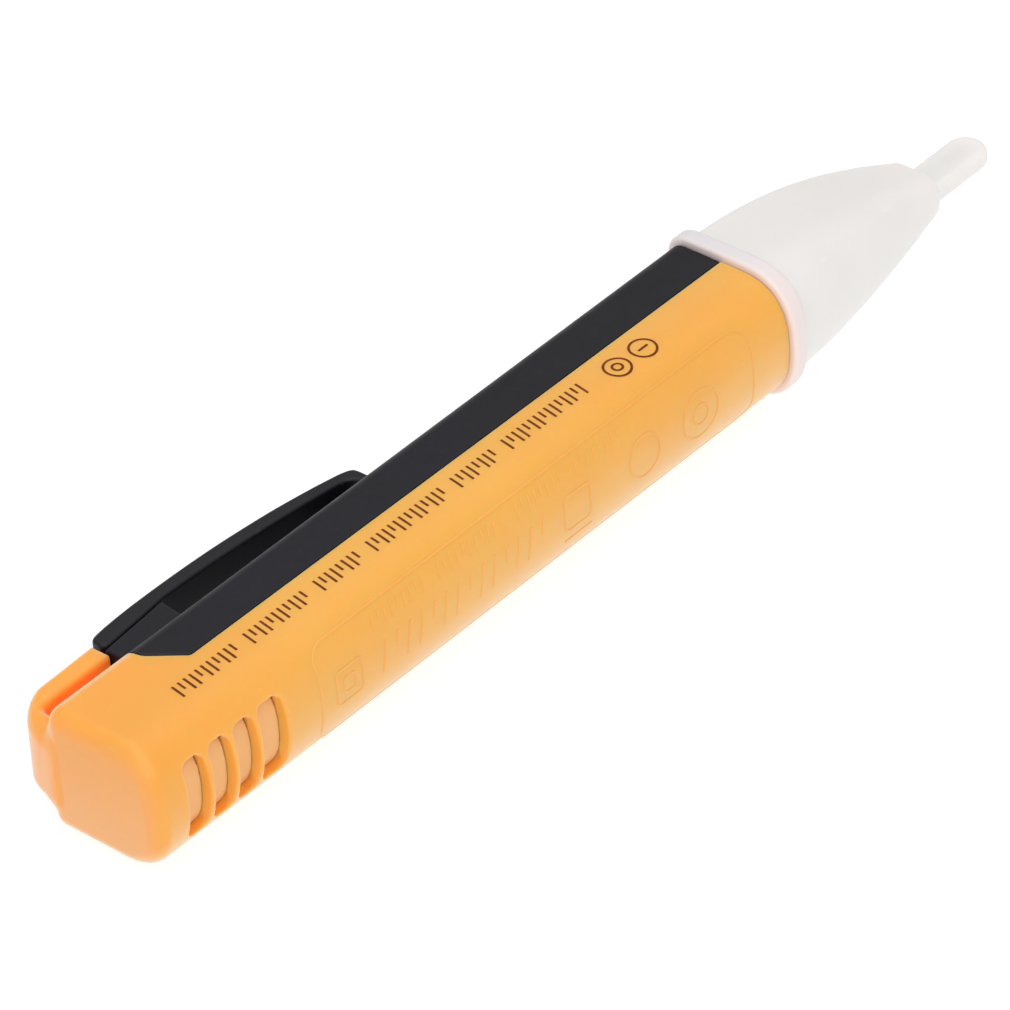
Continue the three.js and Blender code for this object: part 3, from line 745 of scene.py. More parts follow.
# stations: x, front y, back y, half width, corner radius
NOSE_STATIONS = np.array([
    (108, 8.2, -8.32, 7.85, 2.0),
    (111, 8.2, -8.3, 7.8, 2.0),
    (115, 8.14, -8.12, 7.62, 2.1),
    (118.5, 8.02, -7.82, 7.32, 2.15),
    (122, 7.8, -7.4, 6.9, 2.2),
    (126.5, 7.22, -6.8, 6.2, 2.2),
    (131, 6.35, -6.1, 5.3, 2.2),
    (135, 5.05, -5.5, 4.35, 1.95),
    (138, 3.75, -4.98, 3.6, 1.7),
    (141.2, 2.0, -4.4, 2.8, 1.4)])
NOSE_CURVES = [smooth_curve(NOSE_STATIONS[:, 0], NOSE_STATIONS[:, i]) for i in range(1, 5)]


def nose_field(x, y, z):
    front, back, half, corner = [curve(x) for curve in NOSE_CURVES]

    def section(inset):
        d = superellipse(y, z, half - inset, FLANK_Y - back - inset)
        return meet(d, y - (front - inset), np.maximum(corner - inset, 0.4))

    d = meet(section(0.0), x - 140.75, 0.65)
    d = meet(d, 109.7 - x)
    blade = np.hypot(np.maximum(x - 149.4, 0), y - BLADE_Y) - BLADE_RADIUS
    blade = meet(blade, slab(z, 1.3), 0.95)
    d = join(d, meet(blade, 136.8 - x), 0.35)
    hollow = meet(section(NOSE_WALL), x - 136.4)
    channel = meet(meet(slab(z, 0.45), slab(y, 1.2, BLADE_Y)), meet(x - 149.0, 130 - x))
    return carve(d, join(hollow, channel))


nose = mesh_field(
    "nose_with_blade", nose_field,
    lines((109.4, 110.4, 0.15), (110.4, 134, 0.5), (134, 139.2, 0.3), (139.2, 141.4, 0.12),
          (141.4, 148.5, 0.3), (148.5, 152.3, 0.12)),
    lines((-8.7, -5.2, 0.22), (-5.2, -1.5, 0.2), (-1.5, 2.2, 0.2), (2.2, 8.5, 0.2)),
    mirrored((0.0, 3.2, 0.16), (3.2, 8.2, 0.2)))
fit(nose, "carrier", NOSE, "nose_translucent", "nose_cone")

# ---------------------------------------------------------------- release tongue behind windows
TONGUE_MIDDLE, TONGUE_HALF_LENGTH = 13.95, 10.45


def tongue_field(x, y, z):
    inner = open_section(y, z, 5.7, -6.45)
    d = carve(open_section(y, z, 6.45, -7.20), inner, 0.12)
    d = meet(d, y + 2.6, 0.12)
    d = meet(d, slab(x, TONGUE_HALF_LENGTH, TONGUE_MIDDLE), 0.2)
    # low pads that stand in the windows
    pads = reduce(np.minimum, [rectangle(x, z, a + 0.07, b - 0.07, -4.88, 4.88, 1.0)
                               for a, b in WINDOWS])
    pads = meet(meet(pads, open_section(y, z, 6.58, -7.33), 0.03), y + 4.5)
    return join(d, carve(pads, inner))


tongue = mesh_field(
    "release_tongue_leaf", tongue_field,
    lines((3.2, 24.7, 0.16)),
    lines((-7.5, -6.2, 0.1), (-6.2, -2.3, 0.16)),
    mirrored((0.0, 4.0, 0.35), (4.0, 6.6, 0.14)))
paint(tongue, TONGUE)
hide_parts("release_tongue")
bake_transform(tongue)

# ---------------------------------------------------------------- power button
CAP_TOP = 8.70
CAP_RADIUS, FLANGE_RADIUS, STEM_RADIUS = 2.6, 3.5, 1.2
DISH_RADIUS, DISH_DEPTH = 2.1, 0.16


def button_field(x, y, z):
    r = np.hypot(x - BUTTON_X, z)
    top = y - CAP_TOP + DISH_DEPTH * np.clip(1 - (r / DISH_RADIUS) ** 2, 0, 1)
    cap = meet(meet(r - CAP_RADIUS, top, 0.28), 7.1 - y)
    flange = meet(r - FLANGE_RADIUS, slab(y, 0.175, 7.125), 0.06)
    stem = meet(r - STEM_RADIUS, slab(y, 0.65, 6.4), 0.1)
    return join(join(cap, flange), stem)


button_xs = lines((97.2, 98.6, 0.12), (98.6, 103.4, 0.16), (103.4, 104.8, 0.12))
button = mesh_field(
    "power_button_cap", button_field, button_xs,
    lines((5.5, 7.0, 0.12), (7.0, 7.5, 0.06), (7.5, 9.0, 0.08)), button_xs - BUTTON_X)
fit(button, "button", BUTTON, "button", "power_button")

# ---------------------------------------------------------------- inner carrier tray
TRAY_STEP = 97.9         # the tray is narrower past this x
PARTITION = (97.3, 98.5)  # x span of the cross wall between cells and board
RIBS = (30.0, 46.0, 57.0, 90.0)
RIB_THICK = 1.0


def tray_field(x, y, z):
    def shell(half_widths, back_ys):
        wide = x < TRAY_STEP
        return open_section(y, z, np.where(wide, *half_widths), np.where(wide, *back_ys))

    outer = meet(shell((6.35, 5.9), (-6.8, -6.35)), y - 0.6, 0.15)
    outer = meet(outer, slab(x, 44.3, 68.7), 0.25)
    inner = shell((5.55, 5.1), (-6.0, -5.55))
    solid = (x > PARTITION[0]) & (x < PARTITION[1])
    d = np.where(solid, outer, carve(outer, inner, 0.12))
    # ribs with a round cradle for the cells
    ribs = reduce(np.minimum, [meet(slab(x - a, RIB_THICK / 2, RIB_THICK / 2), y + 1.2)
                               for a in RIBS])
    ribs = carve(meet(ribs, open_section(y, z, 6.1, -6.5)), np.hypot(y, z) - 5.4, 0.15)
    d = join(d, ribs, 0.2)
    d = join(d, block(x, y, z, (*PARTITION, 0.0, 5.6, -5.2, 5.2), 0.2), 0.2)
    # side rails run back beside the tongue to the rear wall
    az = np.abs(z)
    d = join(d, block(x, y, az, (2.2, 25.2, -1.6, 0.6, 5.6, 6.3), 0.15), 0.1)
    wall = join(block(x, y, z, (2.2, 3.2, -1.6, 0.6, -6.25, 6.25), 0.2),
                block(x, y, z, (2.2, 3.2, -4.4, 5.0, -5.2, 5.2), 0.35))
    d = join(d, wall)
    # posts beside the board
    for a in (100.0, 105.0):
        d = join(d, block(x, y, az, (a, a + 1.8, -1.0, 1.75, 4.4, 5.25), 0.15), 0.1)
    # notches for the return strip and the front contact, and long grooves along the flanks
    notch_x = slab(x, 1.5, 97.5)
    d = carve(d, meet(notch_x, rectangle(y, z, 2.9, 5.5, 4.3, 5.1, 0.1)))
    d = carve(d, meet(notch_x, rectangle(y, z, 3.0, 3.75, -4.9, -2.7, 0.1)))
    groove = rectangle(x, y, 34.0, 93.0, -1.0, -0.4, 0.25)
    return carve(d, meet(groove, 6.15 - az), 0.08)


tray = mesh_field(
    "carrier_tray", tray_field,
    lines((2.0, 3.6, 0.2), (3.6, 24.0, 1.3), (24.0, 25.6, 0.2), (25.6, 29.8, 0.7),
          (29.8, 31.2, 0.2), (31.2, 45.8, 0.9), (45.8, 47.2, 0.2), (47.2, 56.8, 0.8),
          (56.8, 58.2, 0.2), (58.2, 89.8, 1.1), (89.8, 91.2, 0.2), (91.2, 96.8, 0.5),
          (96.8, 98.9, 0.15), (98.9, 107.0, 0.3), (107.0, 112.4, 0.6), (112.4, 113.2, 0.15)),
    lines((-7.0, -5.2, 0.2), (-5.2, -2.0, 0.35), (-2.0, 0.8, 0.15), (0.8, 2.8, 0.3),
          (2.8, 5.8, 0.2)),
    mirrored((0.0, 3.6, 0.4), (3.6, 4.2, 0.2), (4.2, 6.6, 0.13)))
fit(tray, "carrier", TRAY, "carrier", "chassis_tray")

# ---------------------------------------------------------------- cells
CELLS = (("rear", 7.5), ("front", 52.1))   # name and start x
CELL_LENGTH = 44.5

STEEL = metal("nickel_plated_steel", ("d0d2d4", "a9acb0"), rough=0.26)
SPRING = metal("spring_wire", ("d4d6d9", "9fa3a8"), rough=0.22, stretch=(900, 900, 900))
BRASS = metal("rolled_brass", ("d9ab4e", "a8782c"), rough=0.28)
TIN = metal("tinned_leads", ("cfd1d2", "b4b6b6"), rough=0.32, stretch=(900, 900, 900))


def jacket_material(name, start, end):
    """Shrink sleeve: blue, then a thin pale ring, then gold, with wrinkles at the ends."""
    m = Material(name)
    u = m.ramp(m.xyz()[0], over=(start * MM, end * MM))
    wavy = m.math("ADD", u, m.times(m.noise(scale=300, detail=2), 0.004))
    blue = m.mottle("2f6488", "3f7699", scale=120)
    gold = m.mottle("c9a04a", "b98d38", scale=120)
    colour = m.mix(m.ramp(wavy, over=(0.755, 0.757)), blue, gold)
    band = m.times(m.ramp(wavy, over=(0.742, 0.744)), m.ramp(wavy, over=(0.757, 0.759), to=(1, 0)))
    colour = m.mix(band, colour, "e9e4d6")
    marks = m.ramp(m.noise(scale=2600, detail=3), over=(0.66, 0.8), to=(0, 0.35))
    colour = m.mix(marks, colour, "9fb9c8")
    ends = m.math("ADD", m.ramp(u, over=(0.0, 0.04), to=(1, 0)), m.ramp(u, over=(0.96, 1.0)))
    wrinkles = m.times(m.noise(scale=900, detail=3), m.ramp(ends, over=(0, 1), to=(0.15, 1.0)))
    return m.set(Base_Color=colour, Roughness=m.uneven(to=(0.24, 0.36), scale=500, detail=3),
                 Normal=m.bump(wrinkles, strength=0.35, distance=0.00012), Coat_Weight=0.4)


def can_profile(start, end):
    """Flat end, rolled groove near the front, then the raised terminal."""
    return [
        (0, start + 0.18), (2.6, start + 0.18), (2.9, start + 0.02), (4.2, start + 0.02),
        *arc(4.55, start + 0.38, 0.36, (-90, -68, -45, -23, 0)),
        (4.94, start + 0.6), (4.94, end - 3.4), (4.90, end - 3.1), (4.74, end - 2.9),
        (4.74, end - 2.7), (4.90, end - 2.5), (4.94, end - 2.3), (4.94, end - 1.25),
        (4.88, end - 1.02), (4.72, end - 0.9), (4.4, end - 0.88), (4.2, end - 1.05),
        (3.2, end - 1.05), (2.9, end - 0.88), (1.88, end - 0.86), (1.88, end - 0.25),
        (1.80, end - 0.08), (1.62, end - 0.01), (0.7, end - 0.01), (0.5, end - 0.06),
        (0, end - 0.06)]


def jacket_profile(start, end):
    return [
        (5.06, start + 0.08), (5.10, start), (5.18, start + 0.03), (5.245, start + 0.15),
        (5.25, start + 0.5), (5.25, end - 0.6), (5.235, end - 0.25), (5.18, end - 0.04),
        (5.10, end), (5.06, end - 0.06), (5.055, end - 0.5), (5.055, start + 0.5),
        (5.06, start + 0.08)]


for tag, cell_start in CELLS:
    cell_end = cell_start + CELL_LENGTH
    can = revolve("cell_%s_can" % tag, can_profile(cell_start, cell_end), "x", (0, 0, 0), 72)
    fit(can, "carrier", STEEL, "cell_can", "battery_%s_can" % tag)
    span = (cell_start + 0.5, cell_end - 1.3)
    jacket = revolve("cell_%s_jacket" % tag, jacket_profile(*span), "x", (0, 0, 0), 72)
    fit(jacket, "carrier", jacket_material("jacket_" + tag, *span), "cell_jacket",
        "battery_%s_jacket" % tag)

# ---------------------------------------------------------------- contacts
COIL_TURNS = 3.25
COIL_START, COIL_LENGTH = 4.05, 3.05
COIL_RADIUS, COIL_TAPER = 3.5, 1.3

t = np.linspace(0, 1, 190)
turn, coil_radius = 2 * math.pi * COIL_TURNS * t, COIL_RADIUS - COIL_TAPER * t
coil = np.stack([COIL_START + COIL_LENGTH * t, coil_radius * np.cos(turn),
                 coil_radius * np.sin(turn)], 1)
fit(sweep("cell_spring", coil, 0.28, 14), "carrier", SPRING, "contact_metal",
    "rear_spring_contact")


def groove(distance, half_width, depth):
    """V groove, deepest where the distance is zero."""
    return depth * np.clip(1 - np.abs(distance) / half_width, 0, 1)


def rear_plate(x, y, z):
    d = rectangle(y, z, -3.9, 3.9, -3.9, 3.9, 0.7)
    d = join(d, rectangle(y, z, 2.4, 4.4, 3.5, 4.45, 0.12), 0.3)
    r = np.hypot(y, z)
    d = carve(d, r - 0.8)
    return meet(d, slab(x, 0.15, 3.5) + groove(r - 2.4, 0.3, 0.06), 0.06)


def front_plate(x, y, z):
    face = slab(x, 0.15, 96.9) + groove(np.hypot(y, z) - 2.3, 0.3, 0.05)
    d = meet(rectangle(y, z, -3.6, 3.6, -3.6, 3.6, 0.6), face, 0.06)
    return join(d, block(x, y, z, (96.75, 98.88, 3.21, 3.49, -4.58, -3.02), 0.08))


# name, field, (start, stop, step) along x, y and z, CAD piece
PLATES = [
    ("rear_contact", rear_plate, (3.35, 3.65, 0.06), (-3.9, 4.4, 0.16), (-3.9, 4.45, 0.16),
     "rear_contact_plate"),
    ("front_contact", front_plate, (96.75, 98.9, 0.08), (-3.6, 3.6, 0.13), (-4.6, 3.6, 0.16),
     "front_contact_plate")]
PLATE_MARGIN = 0.12      # grid room around a plate
for name, field, *spans, piece in PLATES:
    grid = [lines((a - PLATE_MARGIN, b + PLATE_MARGIN, step)) for a, b, step in spans]
    fit(mesh_field(name, field, *grid), "carrier", STEEL, "contact_metal", piece)


def return_strip(x, y, z):
    """Long flat strip beside the cells, with a groove along each face."""
    fade = (groove(y - 4.15, 0.3, 0.05) * np.clip((x - 5.0) / 1.0, 0, 1)
            * np.clip((95.0 - x) / 1.0, 0, 1))
    return meet(rectangle(x, y, 3.36, 99.58, 3.21, 5.09, 0.5), slab(z, 0.145, 4.75) + fade, 0.05)


fit(mesh_field("cell_return_strip", return_strip,
               lines((3.2, 6.6, 0.2), (6.6, 93.4, 2.0), (93.4, 99.8, 0.2)),
               lines((3.1, 5.2, 0.1)), lines((4.5, 5.0, 0.05))),
    "carrier", STEEL, "contact_metal", "battery_return_strip")

# ---------------------------------------------------------------- circuit board
BOARD_Y, BOARD_HALF_THICK = 2.4, 0.5
# outline: (x, z)
BOARD = [(98.8, -5.2), (104.6, -5.2), (105.5, -4.3), (120, -4.3), (128, -3.0), (128, 3.0),
         (120, 4.3), (105.5, 4.3), (104.6, 5.2), (98.8, 5.2)]
# holes: x, z, radius
BOARD_HOLES = ((124.8, 1.7, 0.35), (125.9, -1.3, 0.35), (110.3, 3.5, 0.3), (118.9, -3.0, 0.3))


def board_field(x, y, z):
    d = meet(polygon(x, z, BOARD), slab(y, BOARD_HALF_THICK, BOARD_Y), 0.06)
    for cx, cz, radius in BOARD_HOLES:
        d = carve(d, np.hypot(x - cx, z - cz) - radius, 0.04)
    return d


def board_material():
    """Green mask with brighter tracks drawn by a brick pattern, and a fine weave."""
    m = Material("solder_mask")
    colour = m.mottle("1d6a38", "175a2f", scale=420, detail=4)
    bricks = {"Vector": m.mapping(rotation=(math.pi / 2, 0, 0)), "Scale": 260,
              "Mortar Size": 0.06, "Brick Width": 0.9, "Row Height": 0.3}
    tracks = m.node("ShaderNodeTexBrick", bricks).outputs["Fac"]
    colour = m.mix(m.ramp(tracks, over=(0, 1), to=(0, 0.55)), colour, "2f8a4c")
    weave = m.ramp(m.noise(scale=5200, detail=2), over=(0.55, 0.8), to=(0, 0.2))
    colour = m.mix(weave, colour, "3f9459")
    return m.set(Base_Color=colour, Roughness=m.uneven(to=(0.26, 0.4), scale=700, detail=3),
                 Normal=m.bump(tracks, strength=0.25, distance=0.00004), Coat_Weight=0.3)


board = mesh_field("board", board_field, lines((98.5, 128.3, 0.2)), lines((1.8, 3.0, 0.12)),
                   lines((-5.5, 5.5, 0.2)))
fit(board, "carrier", board_material(), "board", "circuit_board")

# tinned pads under the parts, on the board's face
LEG_XS = [112.1 + 1.27 * i for i in range(4)]
RESISTORS = ((106.3, 1.2), (108.6, 1.2), (108.6, -2.4), (118.6, 1.8))   # lowest x and z
PAD_Y = (2.88, 2.97)
pads = []
for x in LEG_XS:
    pads += with_mirror([(x - 0.28, x + 0.28, *PAD_Y, 2.45, 3.35)])
for x, z in RESISTORS:
    pads += [(x - 0.12, x + 1.32, *PAD_Y, z - 0.3, z + 0.2),
             (x - 0.12, x + 1.32, *PAD_Y, z + 1.8, z + 2.3)]
pads += with_mirror([(99.2, 100.2, 2.88, 2.96, 2.75, 3.5), (101.8, 102.8, 2.88, 2.96, 2.75, 3.5)])
fit(boxes("board_pads", pads, radius=0.03), "carrier", TIN, "contact_metal")

# ---------------------------------------------------------------- switch under the button
SWITCH = plastic("switch_moulding", ("26262a", "1e1e21", "4a4a50"), rough=0.48, grain=0.25,
                 grain_scale=4200, edge=0.4)
PLUNGER = plastic("plunger_moulding", ("6e4c2e", "5f4127", "9a734c"), rough=0.46, grain=0.2,
                  grain_scale=4200, edge=0.4)


def shallow(y, floor):
    """Pushes a tool away below the given level, so that it only cuts the top."""
    return 10 * np.clip(floor - y, 0, 1)


def switch_field(x, y, z):
    d = meet(rectangle(x, z, 99.12, 102.88, -2.58, 2.58, 0.3), slab(y, 0.79, 3.8), 0.1)
    cover = meet(rectangle(x, z, 99.3, 102.7, -2.35, 2.35, 0.25), slab(y, 0.14, 4.45), 0.05)
    d = join(meet(d, y - 4.44, 0.05), cover)
    d = carve(d, meet(np.hypot(x - BUTTON_X, z) - 1.06, 3.3 - y), 0.08)
    corner_pits = np.hypot(np.abs(x - BUTTON_X) - 1.4, np.abs(z) - 1.85) - 0.22 + shallow(y, 4.35)
    return carve(d, corner_pits, 0.03)


switch = mesh_field("switch_case", switch_field, lines((98.9, 103.1, 0.11)),
                    lines((2.85, 4.75, 0.09)), lines((-2.8, 2.8, 0.11)))
fit(switch, "carrier", SWITCH, "switch_body", "tact_switch_body")
profile = [(0, 3.76), (0.8, 3.76), (0.89, 3.84), (0.89, 5.42),
           *arc(0.77, 5.46, 0.12, (0, 20, 40, 60, 80)), (0.5, 5.57), (0.3, 5.53), (0, 5.53)]
fit(revolve("switch_plunger_pin", profile, "y", (BUTTON_X, 0, 0), 40),
    "switch_plunger", PLUNGER, "switch_plunger", "tact_switch_plunger")


# ---------------------------------------------------------------- tip lamp
def lamp_material():
    m = Material("tinted_epoxy")
    colour = m.mottle("e2503c", "c83a2c", scale=260)
    return m.set(Base_Color=colour, Roughness=m.uneven(to=(0.06, 0.14), scale=900, detail=2),
                 Normal=m.bump(m.noise(scale=420, detail=2), strength=0.05, distance=0.00004),
                 Transmission_Weight=0.45, IOR=1.5, Coat_Weight=0.5)


LAMP_RADIUS, DOME_START, DOME_LENGTH = 1.49, 132.2, 1.53
LAMP_Y = 2.0
profile = [(0, 128.42), (1.6, 128.42), (1.78, 128.52), (1.79, 129.05), (1.70, 129.18),
           (LAMP_RADIUS, 129.22), (LAMP_RADIUS, DOME_START)]
profile += [(LAMP_RADIUS * math.cos(math.radians(a)),
             DOME_START + DOME_LENGTH * math.sin(math.radians(a))) for a in range(10, 90, 10)]
profile += [(0, 133.73)]
fit(revolve("tip_lamp", profile, "x", (0, LAMP_Y, 0), 48), "carrier", lamp_material(),
    "led_lens", "tip_led")
for number, side in ((1, 1), (2, -1)):
    path = [(128.38, LAMP_Y, side * 0.9), (128.3, LAMP_Y, side * 0.9), (128.16, 2.2, side * 1.0),
            (128.1, 2.5, side * 1.1)]
    fit(sweep("lamp_lead_%d" % number, path, 0.13, 8), "carrier", TIN, "contact_metal")

# ---------------------------------------------------------------- buzzer
BUZZER = plastic("buzzer_moulding", ("202024", "18181b", "44444a"), rough=0.45, grain=0.2,
                 grain_scale=3600, edge=0.35)
profile = [(0, -1.89), (0.74, -1.89), (0.8, -1.83), (0.8, -1.22), (1.2, -1.22), (1.2, -1.84),
           (1.26, -1.89), (3.2, -1.89), (3.3, -1.80), (3.6, -1.80), (3.7, -1.89), (4.05, -1.89),
           *arc(4.1, -1.6, 0.29, (-75, -55, -35, -15, 0)), (4.39, 0.9), (4.33, 1.0),
           (4.33, 1.2), (4.39, 1.3), (4.39, 1.66), (4.32, 1.74), (0, 1.74)]
fit(revolve("buzzer", profile, "y", (111.5, 0, 0), 64), "carrier", BUZZER, "buzzer_case",
    "piezo_buzzer")

# ---------------------------------------------------------------- controller chip
CHIP = plastic("chip_epoxy", ("26262a", "202024", "3c3c42"), rough=0.56, grain=0.5,
               grain_scale=5200, edge=0.3)


def chip_field(x, y, z):
    draft = 0.12 * np.abs(y - 3.72) / 0.67
    d = meet(slab(x, 2.5, 114) + draft, slab(z, 2.0) + draft, 0.06)
    d = meet(d, slab(y, 0.67, 3.725), 0.06)
    dot = np.hypot(x - 112.3, z - 1.2) - 0.32 + shallow(y, 4.32)
    end_notch = np.hypot(x - 111.5, z) - 0.35 + shallow(y, 4.3)
    return carve(carve(d, dot, 0.03), end_notch, 0.03)


chip = mesh_field("controller", chip_field, lines((111.3, 116.7, 0.12)),
                  lines((2.95, 4.5, 0.1)), lines((-2.2, 2.2, 0.12)))
fit(chip, "carrier", CHIP, "chip_case", "controller_chip")
legs = []
for x in LEG_XS:
    # shoulder, upright and foot of a leg
    legs += with_mirror([(x - 0.19, x + 0.19, 3.44, 3.59, 1.85, 2.5),
                         (x - 0.19, x + 0.19, 3.02, 3.59, 2.36, 2.52),
                         (x - 0.19, x + 0.19, 3.0, 3.14, 2.38, 2.99)])
fit(boxes("controller_legs", legs, radius=0.04), "carrier", TIN, "contact_metal")


# ---------------------------------------------------------------- capacitor
def capacitor_material():
    """Dark sleeve with a pale stripe on the +Z side and a bare metal top."""
    m = Material("capacitor_sleeve_ink")
    _, y, z = m.xyz()
    colour = m.mottle("24345a", "1c2948", scale=300)
    stripe = m.times(m.ramp(z, over=(0.00115, 0.00118)), m.ramp(y, over=(0.0040, 0.00402)))
    colour = m.mix(stripe, colour, "c8ccd4")
    top = m.ramp(y, over=(0.00591, 0.00593))
    colour = m.mix(top, colour, "c2c5c8")
    return m.set(Base_Color=colour, Metallic=top,
                 Roughness=m.uneven(to=(0.24, 0.36), scale=800, detail=3),
                 Normal=m.bump(m.noise(scale=900, detail=2), strength=0.12, distance=0.00005))


profile = [(0, 3.01), (1.62, 3.01), (1.69, 3.08), (1.69, 3.46), (1.60, 3.58), (1.56, 3.65),
           (1.60, 3.72), (1.69, 3.84), (1.69, 5.74), *arc(1.52, 5.78, 0.17, (15, 35, 55, 75, 90)),
           (1.3, 5.95), (1.22, 5.91), (0, 5.91)]
fit(revolve("capacitor", profile, "y", (121.5, 0, 0), 48), "carrier", capacitor_material(),
    "capacitor_sleeve", "filter_capacitor")


# ---------------------------------------------------------------- transistor and resistors
def transistor_field(x, y, z):
    draft = 0.08 * np.abs(y - 3.5) / 0.45
    d = meet(slab(x, 0.7, 106.9) + draft, np.abs(z + 1.8) - 1.4 + draft, 0.05)
    return meet(d, slab(y, 0.47, 3.475), 0.05)


transistor = mesh_field("transistor_case", transistor_field, lines((106.0, 107.8, 0.1)),
                        lines((2.9, 4.05, 0.08)), lines((-3.4, -0.2, 0.1)))
fit(transistor, "carrier", CHIP, "chip_case", "transistor")
legs = [(105.75, 106.3, 3.0, 3.12, -2.9, -2.5), (105.75, 106.3, 3.0, 3.12, -1.1, -0.7),
        (107.5, 108.05, 3.0, 3.12, -2.0, -1.6)]
fit(boxes("transistor_legs", legs, radius=0.03), "carrier", TIN, "contact_metal")

GLAZE = plastic("resistor_glaze", ("2a2a2e", "222226", "55555c"), rough=0.32, grain=0.15,
                grain_scale=4200, edge=0.2)
for i, (x, z) in enumerate(RESISTORS, 1):
    core = boxes("resistor_%d_body" % i, [(x + 0.02, x + 1.18, 3.03, 3.43, z + 0.25, z + 1.75)],
                 radius=0.05)
    fit(core, "carrier", GLAZE, "resistor", "resistor_%d" % i)
    caps = [(x, x + 1.2, 3.0, 3.45, z, z + 0.38), (x, x + 1.2, 3.0, 3.45, z + 1.62, z + 2.0)]
    fit(boxes("resistor_%d_caps" % i, caps, radius=0.07), "carrier", TIN, "contact_metal")

# ---------------------------------------------------------------- antenna in the blade
# outline: (x, y)
ANTENNA = [(118.6, -2.2), (148, -2.2), (148.4, -1.8), (148.4, -0.8), (148, -0.4),
           (120.4, -0.4), (120.4, 1.75), (118.6, 1.75)]


def antenna_field(x, y, z):
    d = meet(polygon(x, y, ANTENNA), slab(z, 0.24) + groove(y - BLADE_Y, 0.3, 0.05), 0.06)
    return carve(d, np.hypot(x - 122.5, y - BLADE_Y) - 0.4, 0.04)


antenna = mesh_field("antenna", antenna_field,
                     lines((118.4, 123.4, 0.15), (123.4, 147.4, 0.8), (147.4, 148.6, 0.12)),
                     lines((-2.4, -0.2, 0.12), (-0.2, 1.95, 0.18)), lines((-0.35, 0.35, 0.07)))
fit(antenna, "carrier", BRASS, "antenna_brass", "sensor_antenna")


# ---------------------------------------------------------------- marks that follow the shell
def shell_rail():
    """Arc length, y, z and normal from the back's crown (0) round to the +Z flank."""
    t = np.linspace(math.pi / 2, 0, 400)
    power = 2 / SECTION_POWER
    y = FLANK_Y - (FLANK_Y - BACK_Y) * np.sin(t) ** power
    z = HALF_WIDTH * np.cos(t) ** power
    z[0] = 0.0
    y = np.concatenate([y, np.linspace(FLANK_Y, 4.0, 60)[1:]])
    z = np.concatenate([z, np.full(59, HALF_WIDTH)])
    s = np.concatenate([[0], np.cumsum(np.hypot(np.diff(y), np.diff(z)))])
    ny, nz = -np.gradient(z, s), np.gradient(y, s)
    length = np.hypot(ny, nz)
    return s, y, z, ny / length, nz / length


RAIL_S, *RAIL = shell_rail()


def on_shell(x, s, height):
    """Point at arc length s, which is negative towards -Z, and a height off the shell."""
    y, z, ny, nz = [np.interp(abs(s), RAIL_S, values) for values in RAIL]
    side = -1.0 if s < 0 else 1.0
    return x, y + ny * height, side * (z + nz * height)


# rib sections between their feet: across as a share of the width, up as a share of the height
FLAT_RIB = [(-0.5, 0.6), (-0.36, 1), (0.36, 1), (0.5, 0.6)]
ROUND_RIB = [(-0.46, 0.35), (-0.30, 0.85), (0.0, 1), (0.30, 0.85), (0.46, 0.35)]


def strokes(name, paths, width, height, sink=0.05, rib=ROUND_RIB):
    """Thin ribs laid on the shell along (x, s) paths, each given with its closed flag."""
    profile = [(-0.5, -sink)] + [(u, height * h) for u, h in rib] + [(0.5, -sink)]
    size = len(profile)
    points, faces = [], []
    for path, closed in paths:
        p = np.asarray(path, float)
        dense = []
        for i in range(len(p) if closed else len(p) - 1):
            a, b = p[i], p[(i + 1) % len(p)]
            n = max(1, int(math.hypot(*(b - a)) / 0.5))
            dense += [a + (b - a) * j / n for j in range(n)]
        if not closed:
            dense.append(p[-1])
        dense = np.array(dense)
        if closed:
            along = np.roll(dense, -1, 0) - np.roll(dense, 1, 0)
        else:
            along = np.gradient(dense, axis=0)
        along /= np.maximum(np.linalg.norm(along, axis=1), 1e-9)[:, None]
        across = np.stack([-along[:, 1], along[:, 0]], 1)
        base, count = len(points), len(dense)
        for centre, side in zip(dense, across):
            points += [on_shell(*(centre + side * u * width), h) for u, h in profile]
        for i in range(count if closed else count - 1):
            a, b = base + i * size, base + ((i + 1) % count) * size
            for j in range(size):
                k = (j + 1) % size
                faces.append((a + j, b + j, b + k, a + k))
        if not closed:
            last = base + (count - 1) * size
            faces.append(tuple(range(base, base + size)))
            faces.append(tuple(reversed(range(last, last + size))))
    return face_mesh(name, points, faces, 65)


def ring(cx, cs, radius, count, squash=1.0):
    angles = [2 * math.pi * i / count for i in range(count)]
    return [(cx + radius * math.cos(a), cs + squash * radius * math.sin(a)) for a in angles], True


def rounded_box(x0, x1, s0, s1, r):
    points = []
    for cx, cs, turn in ((x1 - r, s1 - r, 0), (x0 + r, s1 - r, 90), (x0 + r, s0 + r, 180),
                         (x1 - r, s0 + r, 270)):
        points += arc(cx, cs, r, [turn + 90 * i / 5 for i in range(6)])
    return points, True


def bars(counts, x, pitch, gap, low, high, lean, cut):
    """Groups of slanted bars; the second of every three lacks its lower part, a share cut."""
    out = []
    for count in counts:
        for i in range(count):
            trim = cut if i % 3 == 1 else 0.0
            out.append(([(x + lean * trim, low + (high - low) * trim), (x + lean, high)], False))
            x += pitch
        x += gap
    return out, x


def ink_material():
    m = Material("print_ink")
    colour = m.mottle("6a2a0a", "803c14", scale=900)
    return m.set(Base_Color=colour, Roughness=m.uneven(to=(0.42, 0.58), scale=600, detail=2),
                 Normal=m.bump(m.noise(scale=5200, detail=2), strength=0.1, distance=0.00003),
                 Specular_IOR_Level=0.12)


